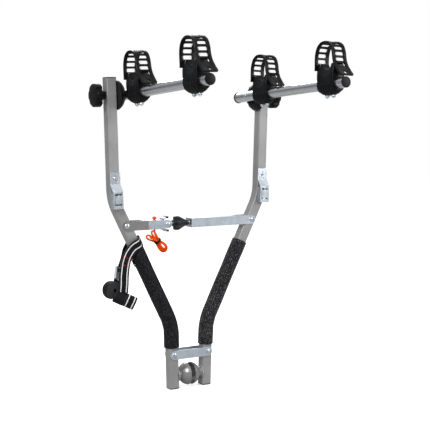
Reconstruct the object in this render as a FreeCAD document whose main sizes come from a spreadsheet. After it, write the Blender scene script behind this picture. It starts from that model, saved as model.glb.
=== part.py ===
"""Tow-ball bicycle carrier with two spreading arms, as a parametric document.

Two bent square tubes turn on a short link just above a tow ball. A strut with a toggle
spreads their tops, and two cups at their feet then grip the ball from both sides. A round
support tube is clamped to the inside of each arm's top and carries two cradles with ladder
straps for the bicycles.

The frame: millimetres, +Z up, +X to the right, -Y towards the end of the support tubes.
The origin is the centre of the tow ball. The left arm's pieces are drawn on the left and
mirrored to the right.
"""

import FreeCAD, Part
import math
import os
import re

import Sketcher

# alias, value in millimetres or degrees, what it measures
SIZES = (
    ("tube_side", 25.0, "side of the square arm tube"),
    ("tube_wall", 2.0, "wall of the arm tube"),
    ("tube_round", 3.0, "corner radius of the arm tube"),
    ("link_half_span", 47.4, "arm pivot from the middle of the link"),
    ("link_height", 52.2, "arm pivot above the ball's centre"),
    ("arm_lean", 1.7, "outward lean of each arm, in degrees"),
    ("arm_foot", 82.5, "arm tube below its pivot"),
    ("lower_bend", 75.2, "lower bend above the pivot"),
    ("arm_slant", 24.9, "slant of the middle run, in degrees"),
    ("bend_offset", 145.0, "upper run outside the lower run"),
    ("bend_radius", 120.0, "centreline radius of both bends"),
    ("top_stand", 4.35, "arm tube above its swivel disc"),
    ("plug_head", 2.2, "thickness of an end plug's head"),
    ("plug_stem", 14.0, "depth of an end plug in its tube"),
    ("plug_gap", 0.15, "gap between a plug and its tube"),
    ("plate_height", 22.0, "height of a link plate and of the strut"),
    ("plate_thick", 3.0, "thickness of a link plate"),
    ("side_gap", 0.3, "gap between the arm tube and what straddles it"),
    ("rivet_thick", 8.0, "diameter of the pivot rivets and the toggle pin"),
    ("rivet_head", 14.0, "diameter of a rivet's head"),
    ("head_height", 2.6, "height of a rivet's head"),
    ("running_gap", 0.05, "radial clearance of a running fit"),
    ("ball_size", 50.0, "diameter of the tow ball"),
    ("cup_gap", 12.0, "gap between the rims of the two cups"),
    ("cup_wall", 3.1, "wall of a ball cup"),
    ("cup_neck", 25.0, "diameter of the neck behind a cup"),
    ("neck_flare", 2.0, "how much wider the neck is at the arm"),
    ("foam_size", 38.0, "outer diameter of a foam sleeve"),
    ("foam_low", 19.0, "lower end of a foam sleeve above the pivot"),
    ("foam_high", 272.0, "upper end of a foam sleeve above the pivot"),
    ("foam_gap", 0.2, "gap between the foam and the arm tube"),
    ("strut_seat", 327.0, "strut rivet above the arm's pivot"),
    ("strut_sheet", 2.0, "sheet thickness of the strut's channels"),
    ("toggle_x", 64.0, "toggle pin left of the middle"),
    ("bar_end", 118.0, "inner end of the painted bar left of the middle"),
    ("left_web_cut", 42.0, "web of the painted bar starts this far from its rivet"),
    ("right_web_cut", 46.0, "web of the long bar starts this far from its rivet"),
    ("bracket_end", 82.0, "end of the bracket's web left of the middle"),
    ("bracket_wall", 4.2, "wall of the bracket"),
    ("tongue_reach", 20.0, "how far the bracket's tongue goes into the painted bar"),
    ("ear_radius", 9.5, "radius of the bracket's ears"),
    ("eye_size", 18.0, "outer diameter of the eyebolt's eye"),
    ("eye_width", 10.0, "width of the eyebolt's eye"),
    ("bolt_thick", 8.0, "diameter of the eyebolt and of the swivel bolts"),
    ("bolt_reach", 24.0, "eyebolt's end right of the middle"),
    ("star_start", 42.0, "star knob's lobes start left of the middle"),
    ("star_collar", 4.0, "star knob's collar beyond its lobes"),
    ("lobe_round", 4.5, "radius of a star knob's lobe"),
    ("star_thick", 14.0, "thickness of the star knob's lobes"),
    ("star_size", 34.0, "star knob across its lobes"),
    ("star_lobes", 4, "lobes of the star knob"),
    ("star_hub", 21.0, "diameter of the star knob's hub"),
    ("hub_tip", 12.5, "diameter of the star knob's hub at its tip"),
    ("latch_inner", 15.2, "inner radius of the toggle's latch"),
    ("latch_thick", 2.0, "thickness of the latch strip"),
    ("latch_width", 18.0, "width of the latch strip"),
    ("latch_start", 100.0, "direction in which the latch strip starts, in degrees"),
    ("latch_sweep", 165.0, "angle that the latch strip covers, in degrees"),
    ("latch_hub", 12.0, "diameter of the latch's hub on the toggle pin"),
    ("latch_spoke", 8.0, "height of the latch's spokes"),
    ("cap_arc", 17.0, "angle that one latch cap covers, in degrees"),
    ("cap_proud", 1.2, "latch cap thicker than the strip on each face"),
    ("swivel_height", 635.1, "swivel bolt above the arm's pivot"),
    ("tube_stand", 38.5, "support tube's axis from the arm's axis"),
    ("tube_tilt", 3.95, "upward tilt of the support tubes, in degrees"),
    ("support_size", 25.0, "outer diameter of a support tube"),
    ("support_wall", 1.5, "wall of a support tube"),
    ("support_front", 392.0, "support tube in front of the swivel bolt"),
    ("support_rear", 46.5, "support tube behind the swivel bolt"),
    ("front_cap", 25.0, "diameter of the front cap"),
    ("rear_cap", 27.5, "diameter of the rear cap"),
    ("cap_head", 3.0, "thickness of a cap's head"),
    ("cap_dome", 1.2, "rise of a cap's domed face"),
    ("disc_size", 70.5, "diameter of a swivel disc"),
    ("disc_rim", 5.0, "thickness of a swivel disc at its rim"),
    ("disc_crown", 19.0, "thickness of a swivel disc at its crown"),
    ("crown_size", 34.0, "diameter of the disc's flat crown"),
    ("disc_ribs", 12, "ribs on a swivel disc"),
    ("rib_thick", 2.4, "thickness of a disc rib"),
    ("rib_height", 1.6, "height of a disc rib above the dome"),
    ("knob_start", 14.0, "clamp knob's lobes from its hub's face"),
    ("knob_thick", 17.0, "thickness of a clamp knob's lobes"),
    ("knob_size", 56.0, "diameter of a clamp knob"),
    ("knob_hub", 22.0, "diameter of a clamp knob's hub"),
    ("knob_lobes", 6, "lobes of a clamp knob"),
    ("scallop_size", 17.0, "diameter of the scallops between the lobes"),
    ("scallop_reach", 30.0, "scallop's centre from the knob's axis"),
    ("knob_round", 3.0, "edge radius of the clamp knobs"),
    ("knob_dome", 1.5, "rise of a clamp knob's face"),
    ("bore_depth", 24.0, "depth of a clamp knob's bore"),
    ("rear_cradle", 72.0, "rear cradle in front of the swivel bolt"),
    ("front_cradle", 337.0, "front cradle in front of the swivel bolt"),
    ("cradle_width", 32.0, "width of a cradle across its tube"),
    ("cradle_length", 60.0, "length of a cradle along its tube"),
    ("cradle_post", 46.0, "top of a cradle's posts above the tube's axis"),
    ("saddle_span", 40.0, "width of a cradle's saddle along the tube"),
    ("saddle_depth", 16.0, "depth of a cradle's saddle"),
    ("barrel_drop", 16.5, "cradle's barrel below the tube's axis"),
    ("rib_drop", 25.5, "cradle's ribs below the tube's axis"),
    ("rib_pitch", 10.5, "spacing of a cradle's ribs"),
    ("rib_count", 5, "ribs under a cradle"),
    ("belly_rib", 3.6, "thickness of a cradle's rib"),
    ("slide_gap", 0.08, "radial clearance of a cradle on its tube"),
    ("strap_width", 34.0, "width of a cradle's strap"),
    ("strap_thick", 3.6, "thickness of a cradle's strap"),
    ("strap_top", 95.0, "top of a cradle's strap above the tube's axis"),
    ("strap_corner", 24.0, "outer radius of the strap's corners"),
    ("strap_foot", 24.0, "rear end of the strap above the tube's axis"),
    ("slot_width", 21.0, "width of a ladder slot"),
    ("slot_height", 8.4, "height of a ladder slot"),
    ("slot_pitch", 13.0, "spacing of the ladder slots"),
    ("slot_first", 37.0, "lowest ladder slot above the tube's axis"),
    ("slot_count", 4, "ladder slots in each leg"),
    ("tail_reach", 60.0, "strap's tail in front of the cradle's middle"),
    ("tail_height", 15.5, "strap's tail above the tube's axis"),
    ("hook_reach", 8.0, "cradle's hooks beyond the strap's inner face"),
    ("hook_height", 6.0, "height of a cradle's hook"),
    ("hook_width", 17.0, "width of a cradle's hook"),
    ("buckle_rivet", 442.1, "buckle's rivet above the arm's pivot"),
    ("buckle_width", 26.0, "width of a cam buckle"),
    ("buckle_sheet", 2.0, "sheet thickness of a cam buckle"),
    ("buckle_tab", 13.5, "buckle's tab above and below its rivet"),
    ("buckle_proud", 16.0, "buckle's frame in front of the arm"),
    ("frame_high", 31.5, "top of the buckle's frame below its rivet"),
    ("frame_low", 71.0, "bottom of the buckle's frame below its rivet"),
    ("buckle_pin", 5.0, "diameter of the buckle's rivet"),
    ("cam_drop", 47.0, "cam's pin below the buckle's rivet"),
    ("cam_depth", 8.0, "cam's pin in front of the arm"),
    ("cam_pin", 4.0, "diameter of the cam's pin"),
    ("cam_barrel", 9.0, "diameter of the cam's barrel"),
    ("cam_plate", 2.5, "thickness of the cam's thumb plate"),
    ("plate_high", 7.0, "top of the thumb plate above the cam's pin"),
    ("plate_low", 13.0, "bottom of the thumb plate below the cam's pin"),
    ("cam_side", 1.2, "gap beside the cam's barrel"),
    ("cam_tooth", 0.9, "height of the cam's teeth"),
    ("frame_bar", 4.0, "side bar of the buckle's window"),
    ("cord_size", 4.5, "diameter of the release cord"),
    ("cord_hole", 6.0, "cord hole in the bracket"),
    ("cord_x", 95.0, "cord hole left of the middle"),
    ("knot_size", 11.0, "diameter of the release cord's knot"),
    ("knot_height", 8.0, "height of the release cord's knot"),
    ("hank_front", 21.5, "rear face of the cord's hank in front of the strut's middle"),
    ("hank_thick", 11.0, "thickness of the cord's hank"),
    ("waist_x", 105.0, "hank's tie left of the middle"),
    ("waist_drop", 34.0, "hank's tie below the strut's middle"),
    ("waist_size", 13.0, "thickness of the hank under its tie"),
    ("tie_wall", 2.0, "thickness of the hank's tie"),
    ("tie_width", 5.0, "width of the hank's tie"),
    ("webbing", 26.0, "width of the tie strap"),
    ("webbing_thick", 2.0, "thickness of the tie strap"),
    ("band_front", 22.0, "tie strap's front band in front of the arm's axis"),
    ("band_rear", 22.5, "top of the tie strap's rear band behind the arm's axis"),
    ("band_lean", 9.0, "lean of the tie strap's rear band, in degrees"),
    ("roll_size", 44.0, "diameter of the tie strap's roll"),
    ("roll_side", 68.2, "tie strap's roll outside its loop"),
    ("roll_drop", 87.5, "tie strap's roll below its loop"),
    ("roll_back", 4.3, "tie strap's roll behind the arm's axis"),
    ("clasp_height", 30.0, "height of the tie strap's buckle"),
    ("clasp_thick", 6.0, "thickness of the tie strap's buckle"),
    ("clasp_slot", 10.0, "height of the window in the tie strap's buckle"),
    ("loop_seat", 264.0, "tie strap's loop along the arm above the pivot"),
    ("loop_tilt", 8.0, "tilt of the tie strap's loop, in degrees"),
)

# alias, formula over the sizes above, what it is
WORKED = (
    ("half_side", "tube_side / 2", "half the arm tube's side"),
    ("arm_top", "swivel_height + disc_size / 2 + top_stand", "arm tube above its pivot"),
    ("bend_run", "bend_radius * tan(arm_slant / 2)", "tangent length of a bend"),
    ("upper_bend", "lower_bend + bend_offset / tan(arm_slant)", "upper bend above the pivot"),
    ("run_x", "bend_run * sin(arm_slant)", "sideways part of a bend's tangent"),
    ("run_z", "bend_run * cos(arm_slant)", "upward part of a bend's tangent"),
    ("seat_x", "(strut_seat - lower_bend) * tan(arm_slant)", "strut rivet outside the pivot"),
    ("strut_x", "link_half_span + seat_x * cos(arm_lean) + strut_seat * sin(arm_lean)",
     "strut rivet from the middle"),
    ("strut_height", "link_height + strut_seat * cos(arm_lean) - seat_x * sin(arm_lean)",
     "strut rivet above the ball's centre"),
    ("ball_reach", "link_half_span * cos(arm_lean) - link_height * sin(arm_lean)",
     "ball's centre from the arm's axis"),
    ("ball_drop", "link_half_span * sin(arm_lean) + link_height * cos(arm_lean)",
     "ball's centre below the arm's pivot"),
    ("cup_inner", "ball_size / 2 + 0.2", "inner radius of a cup"),
    ("cup_outer", "cup_inner + cup_wall", "outer radius of a cup"),
    ("straddle", "half_side + side_gap", "inner face of what straddles an arm"),
    ("strut_half", "straddle + strut_sheet", "outer face of the strut's channels"),
    ("tube_offset", "bend_offset - tube_stand", "support tube outside the pivot"),
    ("disc_back", "tube_stand - half_side - 0.1", "disc's back from the support tube's axis"),
    ("post_y", "cradle_length / 2", "outer face of a cradle's posts"),
    ("leg_y", "post_y + strap_thick", "outer face of the strap's legs"),
    ("foam_x", "(foam_high - lower_bend) * tan(arm_slant)", "foam's upper end outside the pivot"),
    ("loop_x", "(loop_seat - lower_bend) * tan(arm_slant)", "tie strap's loop outside the pivot"),
    ("bolt_end", "tube_stand + half_side + bore_depth", "bolt's end from the support tube's axis"),
    ("cap_reach", "support_size / 2 - support_wall - plug_gap", "radius of a cap's stem"),
    ("saddle_radius", "((saddle_span / 2) ^ 2 + saddle_depth ^ 2) / (2 * saddle_depth)",
     "radius of a cradle's saddle"),
    ("dome_radius", "disc_size / 2 * 0.76", "radius of a swivel disc's flank"),
)

# frames of the sub-parts: the link, the left arm, its support tube and the strut
UPRIGHT = "rotation(vector(0; 1; 0); 0)"
LINK = f"placement(vector(0; 0; link_height); {UPRIGHT})"
ARM = "placement(vector(-link_half_span; 0; link_height); rotation(vector(0; 1; 0); -arm_lean))"
STRUT = f"placement(vector(0; 0; strut_height); {UPRIGHT})"
TUBE = (f"{ARM} * placement(vector(-tube_offset; 0; swivel_height); "
        "rotation(vector(1; 0; 0); -tube_tilt))")
STRAP = f"{ARM} * placement(vector(-loop_x; 0; loop_seat); rotation(vector(0; 1; 0); arm_lean))"
BUCKLE = f"{ARM} * placement(vector(-bend_offset; -half_side; buckle_rivet); {UPRIGHT})"

ALIASES = {name: "Sizes" for name, _, _ in SIZES}
ALIASES.update({name: "Worked" for name, _, _ in WORKED})

document = FreeCAD.newDocument("bike_carrier")
nodes = []


def cells(text):
    """Point every size named in a formula at its cell."""
    return re.sub(r"[a-z_]+", lambda word: f"{ALIASES[word[0]]}.{word[0]}"
                  if word[0] in ALIASES else word[0], str(text))


def fill_sheets():
    """Write the driving sizes and the sizes worked out from them."""
    sheet = document.addObject("Spreadsheet::Sheet", "Sizes")
    for row, (name, number, note) in enumerate(SIZES, 1):
        sheet.set(f"A{row}", note)
        sheet.set(f"B{row}", str(number))
        sheet.setAlias(f"B{row}", name)
    worked = document.addObject("Spreadsheet::Sheet", "Worked")
    for row, (name, _, note) in enumerate(WORKED, 1):
        worked.set(f"A{row}", note)
        worked.setAlias(f"B{row}", name)
    for row, (_, formula, _) in enumerate(WORKED, 1):
        worked.set(f"B{row}", "=" + cells(formula).replace("Worked.", ""))
    document.recompute()


def size(text):
    """Value of a formula over the sizes."""
    return float(document.Sizes.evalExpression(cells(text)))


def bind(item, field, text):
    """Tie one property of an object to a formula over the sizes."""
    item.setExpression(field, cells(text))


def new_node(kind, label, place=None):
    """Add the object that becomes one sub-part's file, in its frame."""
    item = document.addObject(kind, label)
    item.Label = label
    if place:
        bind(item, "Placement", place)
    nodes.append(item)
    return item


def body(label, place):
    """Start a solid body in one of the frames."""
    return new_node("PartDesign::Body", label, place)


def mirrored(source, label):
    """Make the right-hand twin of a left-hand sub-part."""
    twin = new_node("Part::Mirroring", label)
    twin.Source = source
    twin.Normal = FreeCAD.Vector(1, 0, 0)
    return twin


def sketch_on(owner, plane, lift="0"):
    """Open a sketch on one of a body's own planes, lifted along the plane's normal."""
    sketch = owner.newObject("Sketcher::SketchObject", "Outline")
    support = next(item for item in owner.Origin.OriginFeatures if item.Role == plane + "_Plane")
    sketch.AttachmentSupport = [(support, "")]
    sketch.MapMode = "FlatFace"
    bind(sketch, "AttachmentOffset.Base.z", lift)
    return sketch


def fix(sketch, kind, text, *where):
    """Add a constraint whose value is a formula over the sizes."""
    index = sketch.addConstraint(Sketcher.Constraint(kind, *where, size(text)))
    bind(sketch, f"Constraints[{index}]", text)


def pin(sketch, edge, end, across, along):
    """Hold one point of an edge at a place in the sketch."""
    fix(sketch, "DistanceX", across, -1, 1, edge, end)
    fix(sketch, "DistanceY", along, -1, 1, edge, end)


def point(place):
    """Vector of a place given by two formulas."""
    return FreeCAD.Vector(size(place[0]), size(place[1]), 0)


def arc_between(start, end, radius, turn):
    """Arc of less than half a circle from start to end, and which of its ends comes first."""
    chord = end - start
    rise = math.sqrt(max(radius ** 2 - chord.Length ** 2 / 4, 0.0))
    aside = FreeCAD.Vector(-chord.y, chord.x, 0).normalize() * turn * rise
    centre = (start + end) * 0.5 + aside
    first, last = (start, end) if turn > 0 else (end, start)
    angles = [math.atan2(spot.y - centre.y, spot.x - centre.x) for spot in (first, last)]
    if angles[1] < angles[0]:
        angles[1] += 2 * math.pi
    circle = Part.Circle(centre, FreeCAD.Vector(0, 0, 1), radius)
    return Part.ArcOfCircle(circle, *angles), (1, 2) if turn > 0 else (2, 1)


def trace(sketch, start, *moves):
    """Draw lines (x, y) and arcs (x, y, radius, turn) through held points.

    A turn of 1 bends to the left on the way and -1 to the right. A run that ends where it
    began closes itself.
    """
    here, first, last = start, None, None
    for move in moves:
        there = move[:2]
        if len(move) == 2:
            edge = sketch.addGeometry(Part.LineSegment(point(here), point(there)), False)
            ends = (1, 2)
        else:
            arc, ends = arc_between(point(here), point(there), size(move[2]), move[3])
            edge = sketch.addGeometry(arc, False)
            fix(sketch, "Radius", move[2], edge)
        if last is None:
            first = (edge, ends[0])
            pin(sketch, edge, ends[0], *start)
        else:
            sketch.addConstraint(Sketcher.Constraint("Coincident", *last, edge, ends[0]))
        last = (edge, ends[1])
        if there == start:
            sketch.addConstraint(Sketcher.Constraint("Coincident", *last, *first))
        else:
            pin(sketch, edge, ends[1], *there)
        here = there
    return sketch


def ring(sketch, across, along, diameter):
    """Draw a circle at a held place."""
    circle = Part.Circle(point((across, along)), FreeCAD.Vector(0, 0, 1), size(diameter) / 2)
    edge = sketch.addGeometry(circle, False)
    pin(sketch, edge, 3, across, along)
    fix(sketch, "Diameter", diameter, edge)
    return sketch


def box_outline(sketch, left, right, low, high):
    """Draw an upright rectangle between held sides."""
    return trace(sketch, (left, low), (right, low), (right, high), (left, high), (left, low))


def rounded_outline(sketch, corners, radius):
    """Draw a convex outline round arcs whose centres are held, counter-clockwise."""
    reach = size(radius)
    centres = [point(corner) for corner in corners]
    arcs = []
    for index, centre in enumerate(centres):
        before = centre - centres[index - 1]
        after = centres[(index + 1) % len(centres)] - centre
        turn = [math.atan2(way.y, way.x) - math.pi / 2 for way in (before, after)]
        if turn[1] < turn[0]:
            turn[1] += 2 * math.pi
        circle = Part.Circle(centre, FreeCAD.Vector(0, 0, 1), reach)
        edge = sketch.addGeometry(Part.ArcOfCircle(circle, *turn), False)
        pin(sketch, edge, 3, *corners[index])
        fix(sketch, "Radius", radius, edge)
        arcs.append(edge)
    for edge, following in zip(arcs, arcs[1:] + arcs[:1]):
        begin = sketch.getPoint(edge, 2)
        end = sketch.getPoint(following, 1)
        line = sketch.addGeometry(Part.LineSegment(begin, end), False)
        sketch.addConstraint(Sketcher.Constraint("Tangent", edge, 2, line, 1))
        sketch.addConstraint(Sketcher.Constraint("Tangent", line, 2, following, 1))
    return sketch


def square_outline(sketch, half, radius):
    """Draw a square with rounded corners round the sketch's origin."""
    inset = f"({half}) - ({radius})"
    corners = [(f"-({inset})", f"-({inset})"), (inset, f"-({inset})"),
               (inset, inset), (f"-({inset})", inset)]
    return rounded_outline(sketch, corners, radius)


def pad(owner, sketch, length):
    """Raise a sketch along its normal."""
    feature = owner.newObject("PartDesign::Pad", "Pad")
    feature.Profile = sketch
    bind(feature, "Length", length)
    return feature


def cut(owner, sketch, depth):
    """Cut a sketch's outline into the body, against the sketch's normal."""
    feature = owner.newObject("PartDesign::Pocket", "Pocket")
    feature.Profile = sketch
    bind(feature, "Length", depth)
    return feature


def turned(owner, sketch, axis, kind="Revolution"):
    """Turn a sketch once round one of its own axes."""
    feature = owner.newObject(f"PartDesign::{kind}", kind)
    feature.Profile = sketch
    feature.ReferenceAxis = (sketch, [axis])
    feature.Angle = 360
    return feature


def swept(owner, section, path):
    """Sweep a section along a path sketch."""
    document.recompute()
    feature = owner.newObject("PartDesign::AdditivePipe", "Pipe")
    feature.Profile = (section, [""])
    feature.Spine = (path, [f"Edge{index + 1}" for index in range(len(path.Shape.Edges))])
    return feature


def repeated(owner, feature, axis, count):
    """Repeat a feature evenly round an axis."""
    pattern = owner.newObject("PartDesign::PolarPattern", "PolarPattern")
    pattern.Originals = [feature]
    pattern.Axis = axis
    pattern.Angle = 360
    bind(pattern, "Occurrences", count)
    owner.Tip = pattern
    return pattern


def spaced(owner, feature, axis, pitch, count):
    """Repeat a feature at an even pitch along an axis."""
    pattern = owner.newObject("PartDesign::LinearPattern", "LinearPattern")
    pattern.Originals = [feature]
    pattern.Direction = axis
    pattern.Mode = "Spacing"
    bind(pattern, "Offset", pitch)
    bind(pattern, "Occurrences", count)
    owner.Tip = pattern
    return pattern


def softened(owner, radius, wanted):
    """Round the edges of a body that pass a test."""
    document.recompute()
    base = owner.Tip
    names = [f"Edge{index}" for index, edge in enumerate(base.Shape.Edges, 1) if wanted(edge)]
    feature = owner.newObject("PartDesign::Fillet", "Fillet")
    feature.Base = (base, names)
    bind(feature, "Radius", radius)
    return feature


def arm_path(sketch, low, high=None):
    """Trace an arm's centreline from a height below the lower bend to its top, or to high."""
    trace_ends = [("0", "lower_bend - bend_run"), ("-run_x", "lower_bend + run_z", "bend_radius", 1)]
    if high:
        trace_ends.append(high)
    else:
        trace_ends += [("run_x - bend_offset", "upper_bend - run_z"),
                       ("-bend_offset", "upper_bend + bend_run", "bend_radius", -1),
                       ("-bend_offset", "arm_top")]
    return trace(sketch, ("0", low), *trace_ends)


def arm_tube():
    """Bent square tube with its drilled holes."""
    tube = body("arm_tube_left", ARM)
    section = sketch_on(tube, "XY", "-arm_foot")
    square_outline(section, "half_side", "tube_round")
    square_outline(section, "half_side - tube_wall", "tube_round - tube_wall / 2")
    swept(tube, section, arm_path(sketch_on(tube, "XZ"), "-arm_foot"))
    hole = "rivet_thick + 2 * running_gap"
    rivets = sketch_on(tube, "XZ", "tube_side")
    ring(rivets, "0", "0", hole)
    ring(rivets, "-seat_x", "strut_seat", hole)
    cut(tube, rivets, "2 * tube_side")
    cut(tube, ring(sketch_on(tube, "XZ", "tube_side"), "-bend_offset", "buckle_rivet",
                   "buckle_pin"), "tube_side")
    swivel = sketch_on(tube, "YZ", "tube_side - bend_offset")
    ring(swivel, "0", "swivel_height", "bolt_thick + 2 * running_gap")
    cut(tube, swivel, "2 * tube_side")
    return tube


def arm_plug(label, height, way):
    """Plastic plug in an end of the arm tube, pointing up (way 1) or down (way -1)."""
    across = "-bend_offset" if way > 0 else "0"
    turn = 0 if way > 0 else 180
    place = f"{ARM} * placement(vector({across}; 0; {height}); rotation(vector(1; 0; 0); {turn}))"
    plug = body(label, place)
    pad(plug, square_outline(sketch_on(plug, "XY"), "half_side", "tube_round"), "plug_head")
    softened(plug, "plug_head * 0.6", lambda edge: edge.BoundBox.ZMin > size("plug_head") - 0.01)
    stem = sketch_on(plug, "XY", "-plug_stem")
    square_outline(stem, "half_side - tube_wall - plug_gap", "tube_round - tube_wall / 2")
    square_outline(stem, "half_side - 2 * tube_wall - plug_gap", "tube_round - tube_wall")
    pad(plug, stem, "plug_stem")
    return plug


def ball_cup():
    """Half-round cup on a flared neck, facing the tow ball."""
    place = f"{ARM} * placement(vector(ball_reach; 0; -ball_drop); {UPRIGHT})"
    cup = body("ball_cup_left", place)
    rim = "-cup_gap / 2"
    neck = "cup_neck / 2"
    face = "half_side - ball_reach"
    profile = trace(
        sketch_on(cup, "XZ"),
        (face, "0"),
        ("-cup_inner", "0"),
        (rim, "sqrt(cup_inner ^ 2 - (cup_gap / 2) ^ 2)", "cup_inner", -1),
        (rim, "sqrt(cup_outer ^ 2 - (cup_gap / 2) ^ 2)"),
        (f"-sqrt(cup_outer ^ 2 - ({neck}) ^ 2)", neck, "cup_outer", 1),
        (face, f"{neck} + neck_flare"),
        (face, "0"),
    )
    turned(cup, profile, "H_Axis")
    return cup


def foam_sleeve():
    """Foam tube drawn over the lower bend and most of the slanted run."""
    foam = body("foam_sleeve_left", ARM)
    section = sketch_on(foam, "XY", "foam_low")
    ring(section, "0", "0", "foam_size")
    square_outline(section, "half_side + foam_gap", "tube_round + foam_gap")
    swept(foam, section, arm_path(sketch_on(foam, "XZ"), "foam_low", ("-foam_x", "foam_high")))
    return foam


def flat_link(label, front):
    """Flat plate with round ends between the two arms, before (front) or behind them."""
    plate = body(label, LINK)
    near = "straddle" if front else "-straddle - plate_thick"
    ends = [("-link_half_span", "0"), ("link_half_span", "0")]
    pad(plate, rounded_outline(sketch_on(plate, "XZ", near), ends, "plate_height / 2"),
        "plate_thick")
    holes = sketch_on(plate, "XZ", f"{near} + plate_thick")
    for across, along in ends:
        ring(holes, across, along, "rivet_thick")
    cut(plate, holes, "plate_thick")
    return plate


def headed_pin(label, place, half_grip, shank=True):
    """Rivet along Y with a domed head at each end, or its two heads alone."""
    rivet = body(label, place)
    dome = "((rivet_head / 2) ^ 2 + head_height ^ 2) / (2 * head_height)"
    top = f"{half_grip} + head_height"
    if shank:
        profile = trace(
            sketch_on(rivet, "XY"),
            ("0", f"-({top})"),
            ("rivet_head / 2", f"-({half_grip})", dome, 1),
            ("rivet_thick / 2", f"-({half_grip})"),
            ("rivet_thick / 2", half_grip),
            ("rivet_head / 2", half_grip),
            ("0", top, dome, 1),
            ("0", f"-({top})"),
        )
        turned(rivet, profile, "V_Axis")
        return rivet
    for side in ("-", ""):
        start = ("0", f"{side}({half_grip} - strut_sheet)")
        profile = trace(
            sketch_on(rivet, "XY"),
            start,
            ("rivet_thick / 2", start[1]),
            ("rivet_thick / 2", f"{side}({half_grip})"),
            ("rivet_head / 2", f"{side}({half_grip})"),
            ("0", f"{side}({top})", dome, 1 if side == "" else -1),
            start,
        )
        turned(rivet, profile, "V_Axis")
    return rivet


def channel_bar(label, inner_end, web_cut, end_plate):
    """Channel of the strut, from its rivet on the left arm to inner_end."""
    bar = body(label, STRUT)
    half = "plate_height / 2"
    outline = trace(
        sketch_on(bar, "XZ", "-strut_half"),
        ("-strut_x", f"-{half}"),
        (inner_end, f"-{half}"),
        (inner_end, half),
        ("-strut_x", half),
        (f"-strut_x - {half}", "0", half, 1),
        ("-strut_x", f"-{half}", half, 1),
    )
    pad(bar, outline, "2 * strut_half")
    stop = f"{inner_end} - strut_sheet" if end_plate else f"{inner_end} + strut_sheet"
    inside = box_outline(sketch_on(bar, "XZ", "straddle"),
                         "-strut_x - plate_height", stop, "-plate_height", f"{half} - strut_sheet")
    cut(bar, inside, "2 * straddle")
    window = box_outline(sketch_on(bar, "XY", "plate_height"),
                         "-strut_x - plate_height", f"-strut_x + {web_cut}",
                         "-straddle", "straddle")
    cut(bar, window, "2 * plate_height")
    cut(bar, ring(sketch_on(bar, "XZ", "tube_side"), "-strut_x", "0", "rivet_thick"),
        "2 * tube_side")
    if end_plate:
        cut(bar, ring(sketch_on(bar, "YZ", f"{inner_end} + plate_height"), "0", "0",
                      "bolt_thick + 2 * running_gap"), "2 * plate_height")
    return bar


def toggle_bracket():
    """Bracket that continues the painted bar and carries the toggle's pin in two ears."""
    bracket = body("toggle_bracket", STRUT)
    half = "plate_height / 2"
    outer = trace(
        sketch_on(bracket, "XZ", "-strut_half"),
        ("-bar_end", f"-{half}"),
        ("-bracket_end", f"-{half}"),
        ("-toggle_x", "-ear_radius"),
        ("ear_radius - toggle_x", "0", "ear_radius", 1),
        ("-toggle_x", "ear_radius", "ear_radius", 1),
        ("-bracket_end", half),
        ("-bar_end", half),
        ("-bar_end", f"-{half}"),
    )
    pad(bracket, outer, "2 * strut_half")
    room = "straddle - plug_gap"
    tongue = box_outline(sketch_on(bracket, "XZ", f"-({room})"),
                         "-bar_end - tongue_reach", "-bar_end",
                         f"plug_gap - {half}", f"{half} - strut_sheet - plug_gap")
    pad(bracket, tongue, f"2 * ({room})")
    clear = "strut_half - bracket_wall"
    inside = box_outline(sketch_on(bracket, "XZ", clear),
                         "-bar_end - 2 * tongue_reach", "-bracket_end",
                         "-plate_height", f"{half} - bracket_wall")
    cut(bracket, inside, f"2 * ({clear})")
    mouth = box_outline(sketch_on(bracket, "XZ", clear),
                        "-bracket_end", "0", "-plate_height", "plate_height")
    cut(bracket, mouth, f"2 * ({clear})")
    cut(bracket, ring(sketch_on(bracket, "XZ", "tube_side"), "-toggle_x", "0", "rivet_thick"),
        "2 * tube_side")
    cut(bracket, ring(sketch_on(bracket, "XY", "plate_height"), "-cord_x", "0", "cord_hole"),
        "plate_height")
    return bracket


def eyebolt():
    """Bolt whose eye turns on the toggle's pin."""
    bolt = body("eyebolt", STRUT)
    eye = ring(sketch_on(bolt, "XZ", "-eye_width / 2"), "-toggle_x", "0", "eye_size")
    pad(bolt, eye, "eye_width")
    shank = ring(sketch_on(bolt, "YZ", "eye_size * 0.4 - toggle_x"), "0", "0", "bolt_thick")
    pad(bolt, shank, "toggle_x + bolt_reach - eye_size * 0.4")
    hole = ring(sketch_on(bolt, "XZ", "eye_width"), "-toggle_x", "0",
                "rivet_thick + 2 * running_gap")
    cut(bolt, hole, "2 * eye_width")
    return bolt


def star_knob():
    """Adjuster knob on the eyebolt: four lobes and a long tapering hub."""
    knob = body("adjuster_knob", STRUT)
    back = "-star_start - star_collar"
    end = "-strut_sheet - side_gap"
    hub = trace(
        sketch_on(knob, "XZ"),
        (back, "0"),
        (end, "0"),
        (end, "hub_tip / 2"),
        ("star_thick - star_start", "star_hub / 2"),
        ("-star_start", "star_hub / 2"),
        (back, "(star_hub - star_collar) / 2"),
        (back, "0"),
    )
    turned(knob, hub, "H_Axis")
    lobe = sketch_on(knob, "YZ", "-star_start")
    tip = "star_size / 2 - lobe_round"
    ends = [("0", "star_hub / 2 - lobe_round"), ("0", tip)]
    raised = pad(knob, rounded_outline(lobe, ends, "lobe_round"), "star_thick")
    repeated(knob, raised, (lobe, ["N_Axis"]), "star_lobes")
    cut(knob, ring(sketch_on(knob, "YZ"), "0", "0", "bolt_thick + 2 * running_gap"),
        "star_start + star_collar")
    return knob


def moved(across, forward, up, turn=UPRIGHT):
    """Formula of a frame shifted and turned inside another."""
    return f"placement(vector({across}; {forward}; {up}); {turn})"


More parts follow.
